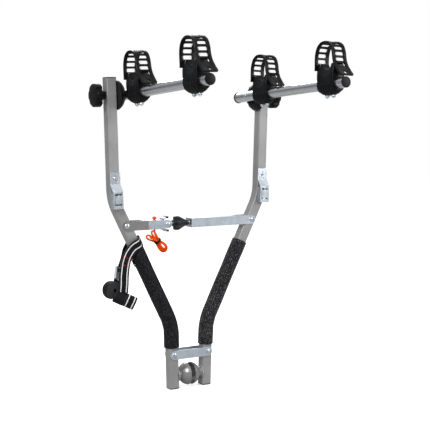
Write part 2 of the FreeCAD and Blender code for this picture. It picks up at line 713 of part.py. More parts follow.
def spin(axis, angle):
    """Formula of a turn about one of the axes."""
    vector = {"X": "1; 0; 0", "Y": "0; 1; 0", "Z": "0; 0; 1"}[axis]
    return f"rotation(vector({vector}); {angle})"


TOGGLE = f"{STRUT} * {moved('-toggle_x', '0', '0')}"


def drum(diameter, length, place):
    """Cylinder along its own Z, in a frame given by formulas."""
    item = document.addObject("Part::Cylinder", "Drum")
    bind(item, "Radius", f"({diameter}) / 2")
    bind(item, "Height", length)
    bind(item, "Placement", place)
    return item


def block(across, depth, height, place):
    """Box centred on its own frame, in a frame given by formulas."""
    item = document.addObject("Part::Box", "Block")
    for field, text in (("Length", across), ("Width", depth), ("Height", height)):
        bind(item, field, text)
    centred = moved(f"-({across}) / 2", f"-({depth}) / 2", f"-({height}) / 2")
    bind(item, "Placement", f"{place} * {centred}")
    return item


def joined(kind, members, label=None, place=None):
    """Fuse, intersect or group shapes, as a sub-part when there is a label."""
    item = new_node(kind, label, place) if label else document.addObject(kind, "Joined")
    setattr(item, "Links" if kind == "Part::Compound" else "Shapes", members)
    return item


def carved(base, tool, label=None, place=None):
    """Cut one shape out of another, as a sub-part when there is a label."""
    kind = "Part::Cut"
    item = new_node(kind, label, place) if label else document.addObject(kind, "Carved")
    item.Base, item.Tool = base, tool
    return item


def arc_strip(inner, outer, width, start, sweep):
    """Part of a ring round the Y axis, from a start angle over a sweep."""
    frame = moved("0", f"({width}) / 2", "0", spin("X", 90))
    strip = drum(f"2 * ({outer})", width, f"{frame} * {moved('0', '0', '0', spin('Z', start))}")
    bind(strip, "Angle", sweep)
    hollow = moved("0", "tube_side", "0", spin("X", 90))
    return carved(strip, drum(f"2 * ({inner})", "2 * tube_side", hollow))


def toggle_latch():
    """C-shaped latch strip on two cheeks that sit on the toggle's pin."""
    members = [arc_strip("latch_inner", "latch_inner + latch_thick", "latch_width",
                         "latch_start", "latch_sweep")]
    reach = "latch_inner + latch_thick / 2"
    for side in ("-", ""):
        middle = f"{side}(latch_width - latch_thick) / 2"
        members.append(block(reach, "latch_thick", "latch_spoke",
                             moved(f"-({reach}) / 2", middle, "0")))
        members.append(drum("latch_hub", "latch_thick",
                            moved("0", f"{middle} + latch_thick / 2", "0", spin("X", 90))))
    pin_hole = drum("rivet_thick + 2 * running_gap", "2 * latch_width",
                    moved("0", "latch_width", "0", spin("X", 90)))
    carved(joined("Part::MultiFuse", members), pin_hole, "toggle_latch", TOGGLE)


def latch_caps():
    """Plastic caps on the two ends of the latch strip."""
    caps = [arc_strip("latch_inner - cap_proud", "latch_inner + latch_thick + cap_proud",
                      "latch_width + 2 * cap_proud", start, "cap_arc")
            for start in ("latch_start - cap_arc", "latch_start + latch_sweep")]
    joined("Part::Compound", caps, "latch_caps", TOGGLE)


def support_tube():
    """Round tube, drilled across for the swivel bolt."""
    tube = body("support_tube_left", TUBE)
    section = sketch_on(tube, "XZ", "-support_rear")
    ring(section, "0", "0", "support_size")
    ring(section, "0", "0", "support_size - 2 * support_wall")
    pad(tube, section, "support_rear + support_front")
    hole = ring(sketch_on(tube, "YZ", "support_size"), "0", "0", "bolt_thick + 2 * running_gap")
    cut(tube, hole, "2 * support_size")
    return tube


def tube_cap(label, place, diameter):
    """Plastic cap with a domed head and a hollow stem, pointing to -Y."""
    cap = body(label, f"{TUBE} * {place}")
    rim = f"{diameter} / 2"
    profile = trace(
        sketch_on(cap, "XY"),
        ("0", "-cap_head"),
        (rim, "cap_dome - cap_head", f"(({rim}) ^ 2 + cap_dome ^ 2) / (2 * cap_dome)", 1),
        (rim, "0"),
        ("cap_reach", "0"),
        ("cap_reach", "plug_stem"),
        ("cap_reach - tube_wall", "plug_stem"),
        ("cap_reach - tube_wall", "0"),
        ("0", "0"),
        ("0", "-cap_head"),
    )
    turned(cap, profile, "V_Axis")
    return cap


def swivel_disc():
    """Ribbed dome between the arm and the support tube, with a groove for the tube."""
    disc = body("swivel_disc_left", TUBE)
    crown, rim = "disc_crown - disc_back", "disc_rim - disc_back"
    profile = trace(
        sketch_on(disc, "XZ"),
        ("-disc_back", "0"),
        (crown, "0"),
        (crown, "crown_size / 2"),
        (rim, "disc_size / 2", "dome_radius", 1),
        ("-disc_back", "disc_size / 2"),
        ("-disc_back", "0"),
    )
    turned(disc, profile, "H_Axis")
    rib = trace(
        sketch_on(disc, "XZ", "-rib_thick / 2"),
        (f"{rim} - rib_height", "rivet_head / 2"),
        (f"{crown} + rib_height", "rivet_head / 2"),
        (f"{crown} + rib_height", "crown_size / 2"),
        (f"{rim} + rib_height", "disc_size / 2 - rib_height", "dome_radius", 1),
        (f"{rim} - rib_height", "disc_size / 2 - rib_height"),
        (f"{rim} - rib_height", "rivet_head / 2"),
    )
    raised = pad(disc, rib, "rib_thick")
    repeated(disc, raised, (rib, ["H_Axis"]), "disc_ribs")
    groove = ring(sketch_on(disc, "XZ", "disc_size"), "0", "0", "support_size + 2 * side_gap")
    cut(disc, groove, "2 * disc_size")
    bore = ring(sketch_on(disc, "YZ", "disc_size"), "0", "0", "bolt_thick + 2 * running_gap")
    cut(disc, bore, "2 * disc_size")
    return disc


def swivel_bolt():
    """Bolt through the support tube, the disc and the arm into the knob."""
    bolt = body("swivel_bolt_left", TUBE)
    head = "support_size / 2"
    dome = "((rivet_head / 2) ^ 2 + head_height ^ 2) / (2 * head_height)"
    profile = trace(
        sketch_on(bolt, "XZ"),
        ("-bolt_end", "0"),
        (f"{head} + head_height", "0"),
        (head, "rivet_head / 2", dome, 1),
        (head, "bolt_thick / 2"),
        ("-bolt_end", "bolt_thick / 2"),
        ("-bolt_end", "0"),
    )
    turned(bolt, profile, "H_Axis")
    return bolt


def clamp_knob():
    """Scalloped knob on the outside of the arm, with a blind bore for the bolt."""
    place = moved("-bend_offset - straddle", "0", "swivel_height", spin("Y", -90))
    knob = body("clamp_knob_left", f"{ARM} * {place}")
    bore = "bolt_thick / 2 + running_gap"
    rim = "knob_size / 2"
    top = "knob_start + knob_thick"
    profile = trace(
        sketch_on(knob, "XZ"),
        (bore, "0"),
        ("knob_hub / 2 - knob_dome", "0"),
        ("knob_hub / 2", "knob_start"),
        (f"{rim} - knob_round", "knob_start"),
        (rim, "knob_start + knob_round", "knob_round", 1),
        (rim, f"{top} - 2 * knob_round"),
        (f"{rim} - 2 * knob_round", top, "2 * knob_round", 1),
        ("knob_hub / 2", f"{top} + knob_dome"),
        ("0", f"{top} + knob_dome"),
        ("0", "bore_depth"),
        (bore, "bore_depth"),
        (bore, "0"),
    )
    turned(knob, profile, "V_Axis")
    scallop = ring(sketch_on(knob, "XY", f"{top} + knob_round"), "scallop_reach", "0",
                   "scallop_size")
    notch = cut(knob, scallop, "knob_thick + knob_round")
    repeated(knob, notch, (scallop, ["N_Axis"]), "knob_lobes")
    return knob


def cradle(label, forward):
    """Saddle block for a bicycle's frame, sliding on the support tube."""
    saddle_block = body(label, f"{TUBE} * {moved('0', '-' + forward, '0')}")
    half = "cradle_width / 2"
    foot = "-barrel_drop / 2"
    saddle = trace(
        sketch_on(saddle_block, "YZ", f"-{half}"),
        ("-post_y", foot),
        ("post_y", foot),
        ("post_y", "cradle_post"),
        ("saddle_span / 2", "cradle_post"),
        ("-saddle_span / 2", "cradle_post", "saddle_radius", -1),
        ("-post_y", "cradle_post"),
        ("-post_y", foot),
    )
    pad(saddle_block, saddle, "cradle_width")
    barrel = ring(sketch_on(saddle_block, "XZ", "-post_y"), "0", "0", "2 * barrel_drop")
    pad(saddle_block, barrel, "cradle_length")
    flank = f"-sqrt(rib_drop ^ 2 - ({half}) ^ 2)"
    rib = trace(
        sketch_on(saddle_block, "XZ", "-(rib_count - 1) / 2 * rib_pitch - belly_rib / 2"),
        (f"-{half}", "0"),
        (f"-{half}", flank),
        (half, flank, "rib_drop", 1),
        (half, "0"),
        (f"-{half}", "0"),
    )
    raised = pad(saddle_block, rib, "belly_rib")
    spaced(saddle_block, raised, (rib, ["N_Axis"]), "rib_pitch", "rib_count")
    for start in ("post_y - belly_rib", "-post_y - hook_reach"):
        hook = box_outline(sketch_on(saddle_block, "XZ", start), "-hook_width / 2", "hook_width / 2",
                           "slot_first - hook_height / 2", "slot_first + hook_height / 2")
        pad(saddle_block, hook, "hook_reach + belly_rib")
    bore = ring(sketch_on(saddle_block, "XZ", "cradle_length"), "0", "0",
                "support_size + 2 * slide_gap")
    cut(saddle_block, bore, "2 * cradle_length")
    return saddle_block


def slot_outline(sketch, along):
    """Draw a ladder slot with round ends at a place along the strap."""
    ends = [("-(slot_width - slot_height) / 2", along), ("(slot_width - slot_height) / 2", along)]
    return rounded_outline(sketch, ends, "slot_height / 2")


def cradle_strap(label, forward):
    """Rubber ladder strap arched over a cradle, with a pull tail in front."""
    strap = body(label, f"{TUBE} * {moved('0', '-' + forward, '0')}")
    inner, bend, flat = "post_y", "strap_top - strap_corner", "leg_y - strap_corner"
    outline = trace(
        sketch_on(strap, "YZ", "-strap_width / 2"),
        ("leg_y", "strap_foot"),
        ("leg_y", bend),
        (flat, "strap_top", "strap_corner", 1),
        (f"-({flat})", "strap_top"),
        ("-leg_y", bend, "strap_corner", 1),
        ("-leg_y", "strap_foot + 2 * strap_thick"),
        ("-tail_reach", "tail_height + strap_thick"),
        ("-tail_reach", "tail_height"),
        (f"-{inner}", "strap_foot"),
        (f"-{inner}", bend),
        (f"-({flat})", "strap_top - strap_thick", "strap_corner - strap_thick", -1),
        (flat, "strap_top - strap_thick"),
        (inner, bend, "strap_corner - strap_thick", -1),
        (inner, "strap_foot"),
        ("leg_y", "strap_foot"),
    )
    pad(strap, outline, "strap_width")
    slot = slot_outline(sketch_on(strap, "XZ", "tail_reach"), "slot_first")
    opening = cut(strap, slot, "2 * tail_reach")
    spaced(strap, opening, (slot, ["V_Axis"]), "slot_pitch", "slot_count")
    cut(strap, slot_outline(sketch_on(strap, "XY", "2 * strap_top"), "0"),
        "strap_top + 2 * strap_thick")
    tail = ring(sketch_on(strap, "XY", "strap_foot"), "0", "slot_height - tail_reach", "slot_height")
    cut(strap, tail, "strap_foot")
    return strap


def buckle_frame():
    """Folded sheet frame of a cam buckle, riveted to the front of the arm."""
    frame = body("buckle_frame_left", BUCKLE)
    half = "buckle_width / 2"
    back, front = "-plug_gap", "-plug_gap - buckle_sheet"
    panel = "buckle_sheet - buckle_proud"
    profile = trace(
        sketch_on(frame, "YZ", f"-{half}"),
        (back, "buckle_tab"),
        (front, "buckle_tab"),
        (front, "-buckle_tab"),
        ("-buckle_proud", "-frame_high"),
        ("-buckle_proud", "-frame_low"),
        (back, "-frame_low"),
        (back, "buckle_sheet - frame_low"),
        (panel, "buckle_sheet - frame_low"),
        (panel, "-frame_high"),
        (back, "-buckle_tab"),
        (back, "buckle_tab"),
    )
    pad(frame, profile, "buckle_width")
    for start in (f"-{half}", f"{half} - buckle_sheet"):
        cheek = box_outline(sketch_on(frame, "YZ", start), "-buckle_proud", "-buckle_sheet",
                            "-frame_low", "-frame_high - buckle_sheet")
        pad(frame, cheek, "buckle_sheet")
    window = box_outline(sketch_on(frame, "XZ", "2 * buckle_proud"),
                         f"frame_bar - {half}", f"{half} - frame_bar",
                         "2 * frame_bar - frame_low", "-frame_high - frame_bar")
    cut(frame, window, "buckle_proud + 2 * buckle_sheet")
    cut(frame, ring(sketch_on(frame, "XZ", "buckle_proud"), "0", "0", "buckle_pin"),
        "2 * buckle_proud")
    cut(frame, ring(sketch_on(frame, "YZ", "buckle_width"), "-cam_depth", "-cam_drop", "cam_pin"),
        "2 * buckle_width")
    return frame


def buckle_rivet():
    """Rivet that holds a buckle to the arm's front wall."""
    rivet = body("buckle_rivet_left", BUCKLE)
    head = "-plug_gap - buckle_sheet"
    dome = "(buckle_pin ^ 2 + head_height ^ 2) / (2 * head_height)"
    profile = trace(
        sketch_on(rivet, "XY"),
        ("0", f"{head} - head_height"),
        ("buckle_pin", head, dome, 1),
        ("buckle_pin / 2", head),
        ("buckle_pin / 2", "tube_wall"),
        ("0", "tube_wall"),
        ("0", f"{head} - head_height"),
    )
    turned(rivet, profile, "V_Axis")
    return rivet


def cam_lever():
    """Toothed cam with its thumb plate in the buckle's window."""
    lever = body("cam_lever_left", f"{BUCKLE} * {moved('0', '-cam_depth', '-cam_drop')}")
    half = "(buckle_width / 2 - buckle_sheet - cam_side)"
    wide = "(buckle_width / 2 - frame_bar - side_gap)"
    front = "cam_depth - buckle_proud - cam_side"
    plate = trace(
        sketch_on(lever, "YZ", f"-{wide}"),
        ("0", "cam_barrel / 2"),
        (f"{front} + cam_plate", "plate_high"),
        (front, "plate_high"),
        (front, "-plate_low"),
        (f"{front} + cam_plate", "-plate_low"),
        ("0", "-cam_barrel / 2"),
        ("0", "cam_barrel / 2"),
    )
    pad(lever, plate, f"2 * {wide}")
    pad(lever, ring(sketch_on(lever, "YZ", f"-{half}"), "0", "0", "cam_barrel"), f"2 * {half}")
    # how far each tooth's tip leans back, as a part of the barrel's radius
    for slant in (0.3, 0.6, 0.9):
        tooth = trace(
            sketch_on(lever, "YZ", f"-{half}"),
            ("0", "0"),
            (f"cam_barrel / 2 * {slant}", "-cam_barrel / 2 - cam_tooth"),
            ("cam_barrel / 2", "-cam_tooth"),
            ("0", "0"),
        )
        pad(lever, tooth, f"2 * {half}")
    bore = ring(sketch_on(lever, "YZ", "buckle_width"), "0", "0", "cam_pin + 2 * running_gap")
    cut(lever, bore, "2 * buckle_width")
    return lever


def cam_pin():
    """Pin across the buckle's cheeks."""
    place = moved("-buckle_width / 2", "-cam_depth", "-cam_drop", spin("Y", 90))
    rod = body("cam_pin_left", f"{BUCKLE} * {place}")
    pad(rod, ring(sketch_on(rod, "XY"), "0", "0", "cam_pin"), "buckle_width")
    return rod


def cord_knot():
    """Knot that holds the release cord on top of the bracket."""
    knot = body("release_cord_knot", f"{STRUT} * {moved('-cord_x', '0', 'plate_height / 2')}")
    rim, rise = "knot_size / 2", "(knot_height / 3)"
    profile = trace(
        sketch_on(knot, "XZ"),
        ("0", "0"),
        ("knot_size / 3", "0"),
        (rim, "knot_height / 3"),
        (rim, "knot_height * 2 / 3"),
        ("0", "knot_height", f"(({rim}) ^ 2 + ({rise}) ^ 2) / (2 * {rise})", 1),
        ("0", "0"),
    )
    turned(knot, profile, "V_Axis")


def release_cord():
    """Cord from its knot down through the bracket to the hank in front of the strut."""
    top, hole, inset = size("plate_height / 2"), size("cord_x"), size("tie_wall / 2")
    hank = FreeCAD.Vector(-size("waist_x"), -size("hank_front"), -size("waist_drop"))
    below = FreeCAD.Vector(-hole, 0, -top)
    way = hank - below
    stops = (FreeCAD.Vector(-hole, 0, top), below,
             below + FreeCAD.Vector(way.x * 0.3, way.y * 0.33, way.z * 0.6),
             hank + FreeCAD.Vector(-inset, -inset, inset))
    cord = new_node("Part::Feature", "release_cord")
    cord.Shape = cord_tube(stops, size("cord_size"))
    bind(cord, "Placement", STRUT)


def cord_tube(stops, diameter):
    """Tube along straight runs joined by tangent arcs as large as the runs allow."""
    edges, here, radii = [], stops[0], []
    for before, corner, after in zip(stops, stops[1:], stops[2:]):
        into, out = corner - before, after - corner
        half_turn = into.getAngle(out) / 2
        reach = 0.45 * min(into.Length, out.Length)
        radii.append(reach / math.tan(half_turn))
        into.normalize()
        out.normalize()
        start, end = corner - into * reach, corner + out * reach
        inward = (out - into).normalize()
        middle = corner + inward * (radii[-1] / math.cos(half_turn) - radii[-1])
        edges += [Part.LineSegment(here, start).toShape(), Part.Arc(start, middle, end).toShape()]
        here = end
    edges.append(Part.LineSegment(here, stops[-1]).toShape())
    path = Part.Wire(edges)
    circle = Part.Circle(stops[0], stops[1] - stops[0], diameter / 2)
    tube = path.makePipeShell([Part.Wire(circle.toShape())], True, True)
    expected = math.pi * diameter ** 2 / 4 * path.Length
    print(f"cord {path.Length:.1f} mm, radii {[round(radius, 1) for radius in radii]}, "
          f"volume ratio {tube.Volume / expected:.3f}")
    return tube


def cord_hank():
    """Outer shape of the tied hank: an upper bow, a waist and a larger lower bow."""
    hank = body("release_cord_hank", f"{STRUT} * {moved('-waist_x', '0', '-waist_drop')}")
    # both ends' places and the radius of each bow, in thicknesses of the waist
    bows = (
        ((-0.46, 0.38), (-1.54, 1.38), 0.58),
        ((-0.46, 0.46), (0.85, -0.85), 0.50),
        ((0.85, -0.92), (1.54, -1.77), 0.85),
    )
    for *ends, radius in bows:
        centres = [(f"waist_size * {across}", f"waist_size * {up}") for across, up in ends]
        bow = rounded_outline(sketch_on(hank, "XZ", "hank_front"), centres, f"waist_size * {radius}")
        pad(hank, bow, "hank_thick")


def cord_tie():
    """Band round the hank's waist."""
    aside = "tie_width * 0.6"
    place = moved(f"{aside} - waist_x", "-hank_front - hank_thick / 2",
                  f"-waist_drop - {aside}", spin("Y", 45))
    middle = moved("0", "0", "0")
    outer = block("tie_width", "hank_thick + 2 * tie_wall", "waist_size + 2 * tie_wall", middle)
    inner = block("2 * tie_width", "hank_thick + plug_gap", "waist_size + plug_gap", middle)
    carved(outer, inner, "cord_tie", f"{STRUT} * {place}")


def strap_loop():
    """Band of webbing laid slantwise round the top of the left foam sleeve."""
    bore = "foam_size + 2 * foam_gap"
    outer = drum(f"{bore} + 2 * webbing_thick", "4 * webbing", moved("0", "0", "-2 * webbing"))
    inner = drum(bore, "4 * webbing", moved("0", "0", "-2 * webbing"))
    slab = block("2 * foam_size", "2 * foam_size", "webbing",
                 moved("0", "0", "0", spin("Y", "-loop_tilt")))
    place = moved("-loop_x", "0", "loop_seat", spin("Y", "-arm_slant"))
    loop = joined("Part::MultiCommon", [carved(outer, inner), slab])
    bind(loop, "Placement", f"{ARM} * {place}")
    return loop


def ribbon(place, stops):
    """Limp flat band that bends in its own plane through stops in widths of the webbing."""
    width, thick = size("webbing"), size("webbing_thick")
    spots = [FreeCAD.Vector(across, 0, up) * width for across, up in stops]
    sides = ([], [])
    for index, spot in enumerate(spots):
        before = spots[max(index - 1, 0)]
        after = spots[min(index + 1, len(spots) - 1)]
        aside = (after - before).cross(FreeCAD.Vector(0, 1, 0)).normalize() * width / 2
        sides[0].append(spot + aside)
        sides[1].insert(0, spot - aside)
    edges = []
    for side in sides:
        curve = Part.BSplineCurve()
        curve.interpolate(side)
        edges.append(curve.toShape())
    ends = [Part.makeLine(sides[0][-1], sides[1][0]), Part.makeLine(sides[1][-1], sides[0][0])]
    outline = Part.Wire([edges[0], ends[0], edges[1], ends[1]])
    band = document.addObject("Part::Feature", "Band")
    band.Shape = Part.Face(outline).extrude(FreeCAD.Vector(0, -thick, 0))
    bind(band, "Placement", place)
    return band


def tie_strap():
    """Webbing strap: its loop round the arm and its front and rear bands."""
    front = ribbon(f"{STRAP} * {moved('0', '-band_front', '0')}",
                   ((-0.20, 0.29), (-0.89, -0.40), (-1.35, -1.17), (-1.62, -2.06),
                    (-1.74, -2.63), (-1.74, -3.10)))
    rear = ribbon(rear_band(), ((0, 0), (-0.19, -0.96), (-0.58, -1.92), (-1.00, -2.85)))
    joined("Part::Compound", [strap_loop(), front, rear], "tie_strap")


def rear_band():
    """Frame at the top of the tie strap's rear band, leaning back to the arm."""
    return f"{STRAP} * {moved('-webbing * 0.89', 'band_rear', 'webbing / 3', spin('X', '-band_lean'))}"


def strap_roll():
    """The rolled-up rest of the tie strap: a roll on end and a roll on its side."""
    on_end = drum("roll_size", "webbing", moved("0", "0", "0", spin("X", 90)))
    aslant = moved("roll_size * 0.09", "-roll_size * 0.37", "-roll_size * 0.27",
                   "rotation(vector(0.43; 0.9; 0); 115)")
    lying = drum("roll_size * 0.9", "2 * webbing", aslant)
    place = moved("-roll_side", "roll_back", "-roll_drop")
    joined("Part::MultiFuse", [on_end, lying], "tie_strap_roll", f"{STRAP} * {place}")


def strap_buckle():
    """Small cam buckle on the rear band of the tie strap."""
    outer = block("webbing + 2 * webbing_thick", "clasp_thick", "clasp_height",
                  moved("0", "0", "0"))
    inner = block("webbing - 2 * webbing_thick", "2 * clasp_thick", "clasp_slot",
                  moved("0", "0", "clasp_height / 4"))
    place = moved("-webbing * 0.81", "-clasp_thick * 0.88", "-webbing * 2.23", spin("Y", 24))
    carved(outer, inner, "tie_strap_buckle", f"{rear_band()} * {place}")


def main():
    """Build every sub-part, check it and write it out."""
    fill_sheets()
    upright = f"placement(vector(0; -support_front; 0); {UPRIGHT})"
    reversed_end = "placement(vector(0; support_rear; 0); rotation(vector(0; 0; 1); 180))"
    left = [
        arm_tube(),
        arm_plug("top_plug_left", "arm_top", 1),
        arm_plug("foot_plug_left", "-arm_foot", -1),
        ball_cup(),
        foam_sleeve(),
        headed_pin("pivot_rivet_left", ARM, "straddle + plate_thick"),
        support_tube(),
        tube_cap("front_cap_left", upright, "front_cap"),
        tube_cap("rear_cap_left", reversed_end, "rear_cap"),
        swivel_disc(),
        swivel_bolt(),
        clamp_knob(),
        cradle("cradle_left_front", "front_cradle"),
        cradle("cradle_left_rear", "rear_cradle"),
        cradle_strap("cradle_strap_left_front", "front_cradle"),
        cradle_strap("cradle_strap_left_rear", "rear_cradle"),
        buckle_frame(),
        buckle_rivet(),
        cam_lever(),
        cam_pin(),
    ]
    for piece in left:
        mirrored(piece, piece.Label.replace("left", "right"))
    flat_link("link_plate_front", True)
    flat_link("link_plate_rear", False)
    rivet = f"{STRUT} * {moved('-strut_x', '0', '0')}"
    channel_bar("strut_bar_left", "-bar_end", "left_web_cut", False)
    headed_pin("strut_rivet_left", rivet, "strut_half")
    for twin, label in ((channel_bar("long_bar", "0", "right_web_cut", True), "strut_bar_right"),
                        (headed_pin("rivet_heads", rivet, "strut_half", False),
                         "strut_rivet_right")):
        nodes.remove(twin)
        mirrored(twin, label)
    toggle_bracket()
    headed_pin("toggle_pin", TOGGLE, "strut_half")
    toggle_latch()
    latch_caps()
    eyebolt()
    star_knob()
    cord_knot()
    release_cord()
    cord_hank()
    cord_tie()
    tie_strap()
    strap_roll()
    strap_buckle()
    write_parts()


def write_parts():
    """Check the whole document and write one file for each sub-part."""
    document.recompute()
    for item in document.Objects:
        assert "Invalid" not in item.State and "Error" not in item.State, (item.Name, item.State)
    os.makedirs("parts", exist_ok=True)
    for item in nodes:
        assert not item.Shape.isNull() and item.Shape.isValid(), item.Label
        item.Shape.exportStep(f"parts/{item.Label}.step")


main()
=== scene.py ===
"""Looks of the tow-ball bicycle carrier: finishes for the CAD pieces, and the pieces made here.

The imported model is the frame. The foam sleeves, the webbing tie strap and its buckle, the
release cord with its knot and tie, the cradles with their ladder straps and nuts, the star knob
and the weld beads are made here, in metres, in the same frame as the CAD: +Z up, -Y towards the
front ends of the support tubes, the origin in the middle of the tow ball.
"""

import functools
import logging
import math
from dataclasses import dataclass
from enum import Enum
from typing import Any, Callable, Iterable, Sequence

import bmesh
import bpy
from mathutils import Matrix, Vector


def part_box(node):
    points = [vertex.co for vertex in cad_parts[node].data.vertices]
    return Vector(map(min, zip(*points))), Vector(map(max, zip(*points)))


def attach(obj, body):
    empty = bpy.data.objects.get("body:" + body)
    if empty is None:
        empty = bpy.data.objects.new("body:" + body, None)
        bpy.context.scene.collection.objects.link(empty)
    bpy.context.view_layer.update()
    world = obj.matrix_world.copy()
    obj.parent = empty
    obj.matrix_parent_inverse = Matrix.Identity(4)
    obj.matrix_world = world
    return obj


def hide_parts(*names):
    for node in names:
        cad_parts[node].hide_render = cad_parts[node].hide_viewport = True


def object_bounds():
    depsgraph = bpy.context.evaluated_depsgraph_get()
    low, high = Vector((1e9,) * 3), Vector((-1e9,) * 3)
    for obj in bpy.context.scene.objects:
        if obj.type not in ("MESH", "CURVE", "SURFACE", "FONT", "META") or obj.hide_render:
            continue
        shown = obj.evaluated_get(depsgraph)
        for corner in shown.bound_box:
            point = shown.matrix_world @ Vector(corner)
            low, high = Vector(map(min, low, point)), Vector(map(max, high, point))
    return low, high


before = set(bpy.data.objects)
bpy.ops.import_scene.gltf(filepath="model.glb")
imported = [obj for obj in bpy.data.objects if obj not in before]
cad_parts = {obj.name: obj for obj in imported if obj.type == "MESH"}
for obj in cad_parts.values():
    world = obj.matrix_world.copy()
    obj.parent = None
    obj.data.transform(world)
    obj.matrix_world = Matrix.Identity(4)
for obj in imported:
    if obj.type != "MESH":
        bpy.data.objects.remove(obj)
CAD_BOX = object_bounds()

log = logging.getLogger("bike_carrier")

MM = 0.001


# --------------------------------------------------------------------------- places

def shifted(across: float, forward: float, up: float) -> Matrix:
    """Frame moved by millimetres."""
    return Matrix.Translation(Vector((across, forward, up)) * MM)


def turned(angle: float, axis: str) -> Matrix:
    """Frame turned by an angle in degrees about X, Y or Z."""
    return Matrix.Rotation(math.radians(angle), 4, axis)


# the arm's pivot, its lean and its slant between the bends, as in the CAD
PIVOT_SIDE, PIVOT_UP = 47.4, 52.2
ARM_LEAN, ARM_SLANT = 1.7, 24.9
MIRROR = Matrix.Scale(-1, 4, (1, 0, 0))
ARM_LEFT = shifted(-PIVOT_SIDE, 0, PIVOT_UP) @ turned(-ARM_LEAN, "Y")
ARM_RIGHT = MIRROR @ ARM_LEFT
STRUT = shifted(0, 0, 375.589)
# where the tie strap goes round the left arm
STRAP_LOOP = ARM_LEFT @ shifted(-87.64, 0, 264)
STRAP = STRAP_LOOP @ turned(ARM_LEAN, "Y")
# the left support tube's axis, level with its swivel bolt
TUBE_LEFT = ARM_LEFT @ shifted(-106.5, 0, 635.1) @ turned(-3.95, "X")
# where the sewn box starts along the tie strap's UV map, in metres
SEWN_FROM = 1.026


class Side(Enum):
    """Side of the carrier, seen from the front."""

    LEFT = "left"
    RIGHT = "right"

    @property
    def arm(self) -> Matrix:
        """Frame of this side's arm."""
        return ARM_LEFT if self is Side.LEFT else ARM_RIGHT


class FoamSkin(Enum):
    """How a foam sleeve's surface looks."""

    SMOOTH = "smooth"
    NETTED = "netted"


# --------------------------------------------------------------------------- node trees

Value = Any


class Tree:
    """Short way to add and link the nodes of one tree."""

    def __init__(self, tree: bpy.types.NodeTree) -> None:
        """Keep the tree.

        Args:
            tree: Material's or group's node tree.
        """
        self.tree = tree

    def node(self, kind: str, inputs: dict[Any, Value] | None = None,
             **settings: Any) -> bpy.types.Node:
        """Add a node.

        Args:
            kind: Node type's name without its ShaderNode prefix, or the whole name.
            inputs: Values or sockets for the node's inputs.
            settings: Properties of the node.

        Returns:
            The new node.
        """
        name = kind if kind.startswith("Node") else "ShaderNode" + kind
        made = self.tree.nodes.new(name)
        for key, value in settings.items():
            setattr(made, key, value)
        for key, value in (inputs or {}).items():
            if isinstance(value, bpy.types.NodeSocket):
                self.tree.links.new(value, made.inputs[key])
            else:
                made.inputs[key].default_value = value
        return made

    def math(self, operation: str, first: Value, second: Value = 0.0, clamp: bool = False) -> Any:
        """Add a Math node and return its output."""
        return self.node("Math", {0: first, 1: second}, operation=operation,
                         use_clamp=clamp).outputs[0]

    def ramp(self, value: Value, low: float, high: float) -> Any:
        """Return a smooth step of a value from 0 at low to 1 at high."""
        return self.node("MapRange", {"Value": value, "From Min": low, "From Max": high},
                         interpolation_type="SMOOTHSTEP").outputs[0]

    def mix(self, factor: Value, first: Value, second: Value) -> Any:
        """Return a mix of two colours.

        Args:
            factor: Share of the second colour.
            first: Colour at 0.
            second: Colour at 1.

        Returns:
            The mix node's colour output.
        """
        made = self.node("Mix", data_type="RGBA")
        sockets = {0: factor, 6: first, 7: second}
        for index, value in sockets.items():
            if isinstance(value, bpy.types.NodeSocket):
                self.tree.links.new(value, made.inputs[index])
            else:
                made.inputs[index].default_value = value
        return made.outputs[2]

    def noise(self, vector: Value, scale: float, detail: float = 3.0) -> Any:
        """Return a noise value over a vector."""
        inputs = {"Vector": vector, "Scale": scale, "Detail": detail}
        return self.node("TexNoise", inputs).outputs[0]

    def group(self, tree: bpy.types.NodeTree, inputs: dict[str, Value]) -> bpy.types.Node:
        """Place a shared group with its own values.

        Args:
            tree: Group's node tree.
            inputs: Values or sockets for its inputs.

        Returns:
            The group node.
        """
        made = self.node("Group")
        made.node_tree = tree
        for key, value in inputs.items():
            if isinstance(value, bpy.types.NodeSocket):
                self.tree.links.new(value, made.inputs[key])
            else:
                made.inputs[key].default_value = value
        return made


def new_group(name: str, inputs: dict[str, float], outputs: Iterable[str]) -> tuple[Tree, Any, Any]:
    """Start a shader node group.

    Args:
        name: Name of the group.
        inputs: Named number inputs with their usual values.
        outputs: Names of its number outputs.

    Returns:
        The tree, the input node and the output node.
    """
    tree = bpy.data.node_groups.new(name, "ShaderNodeTree")
    for label, usual in inputs.items():
        socket = tree.interface.new_socket(label, in_out="INPUT", socket_type="NodeSocketFloat")
        socket.default_value = usual
    for label in outputs:
        tree.interface.new_socket(label, in_out="OUTPUT", socket_type="NodeSocketFloat")
    build = Tree(tree)
    return build, build.node("NodeGroupInput"), build.node("NodeGroupOutput")


@functools.cache
def grain_group() -> bpy.types.NodeTree:
    """Fine pebbled grain of paint and moulded plastic: a height and a slow tone.

    Returns:
        The group's tree.
    """
    build, given, out = new_group("grain", {"Scale": 900.0}, ("Height", "Tone"))
    place = build.node("TexCoord").outputs["Object"]
    pebble = build.node("TexVoronoi", {"Vector": place, "Scale": given.outputs["Scale"]},
                        feature="SMOOTH_F1").outputs["Distance"]
    half = build.math("MULTIPLY", given.outputs["Scale"], 0.45)
    rough = build.node("TexNoise", {"Vector": place, "Scale": half, "Detail": 3.0}).outputs[0]
    build.tree.links.new(build.math("ADD", pebble, rough), out.inputs["Height"])
    build.tree.links.new(build.noise(place, 14.0, 4.0), out.inputs["Tone"])
    return build.tree


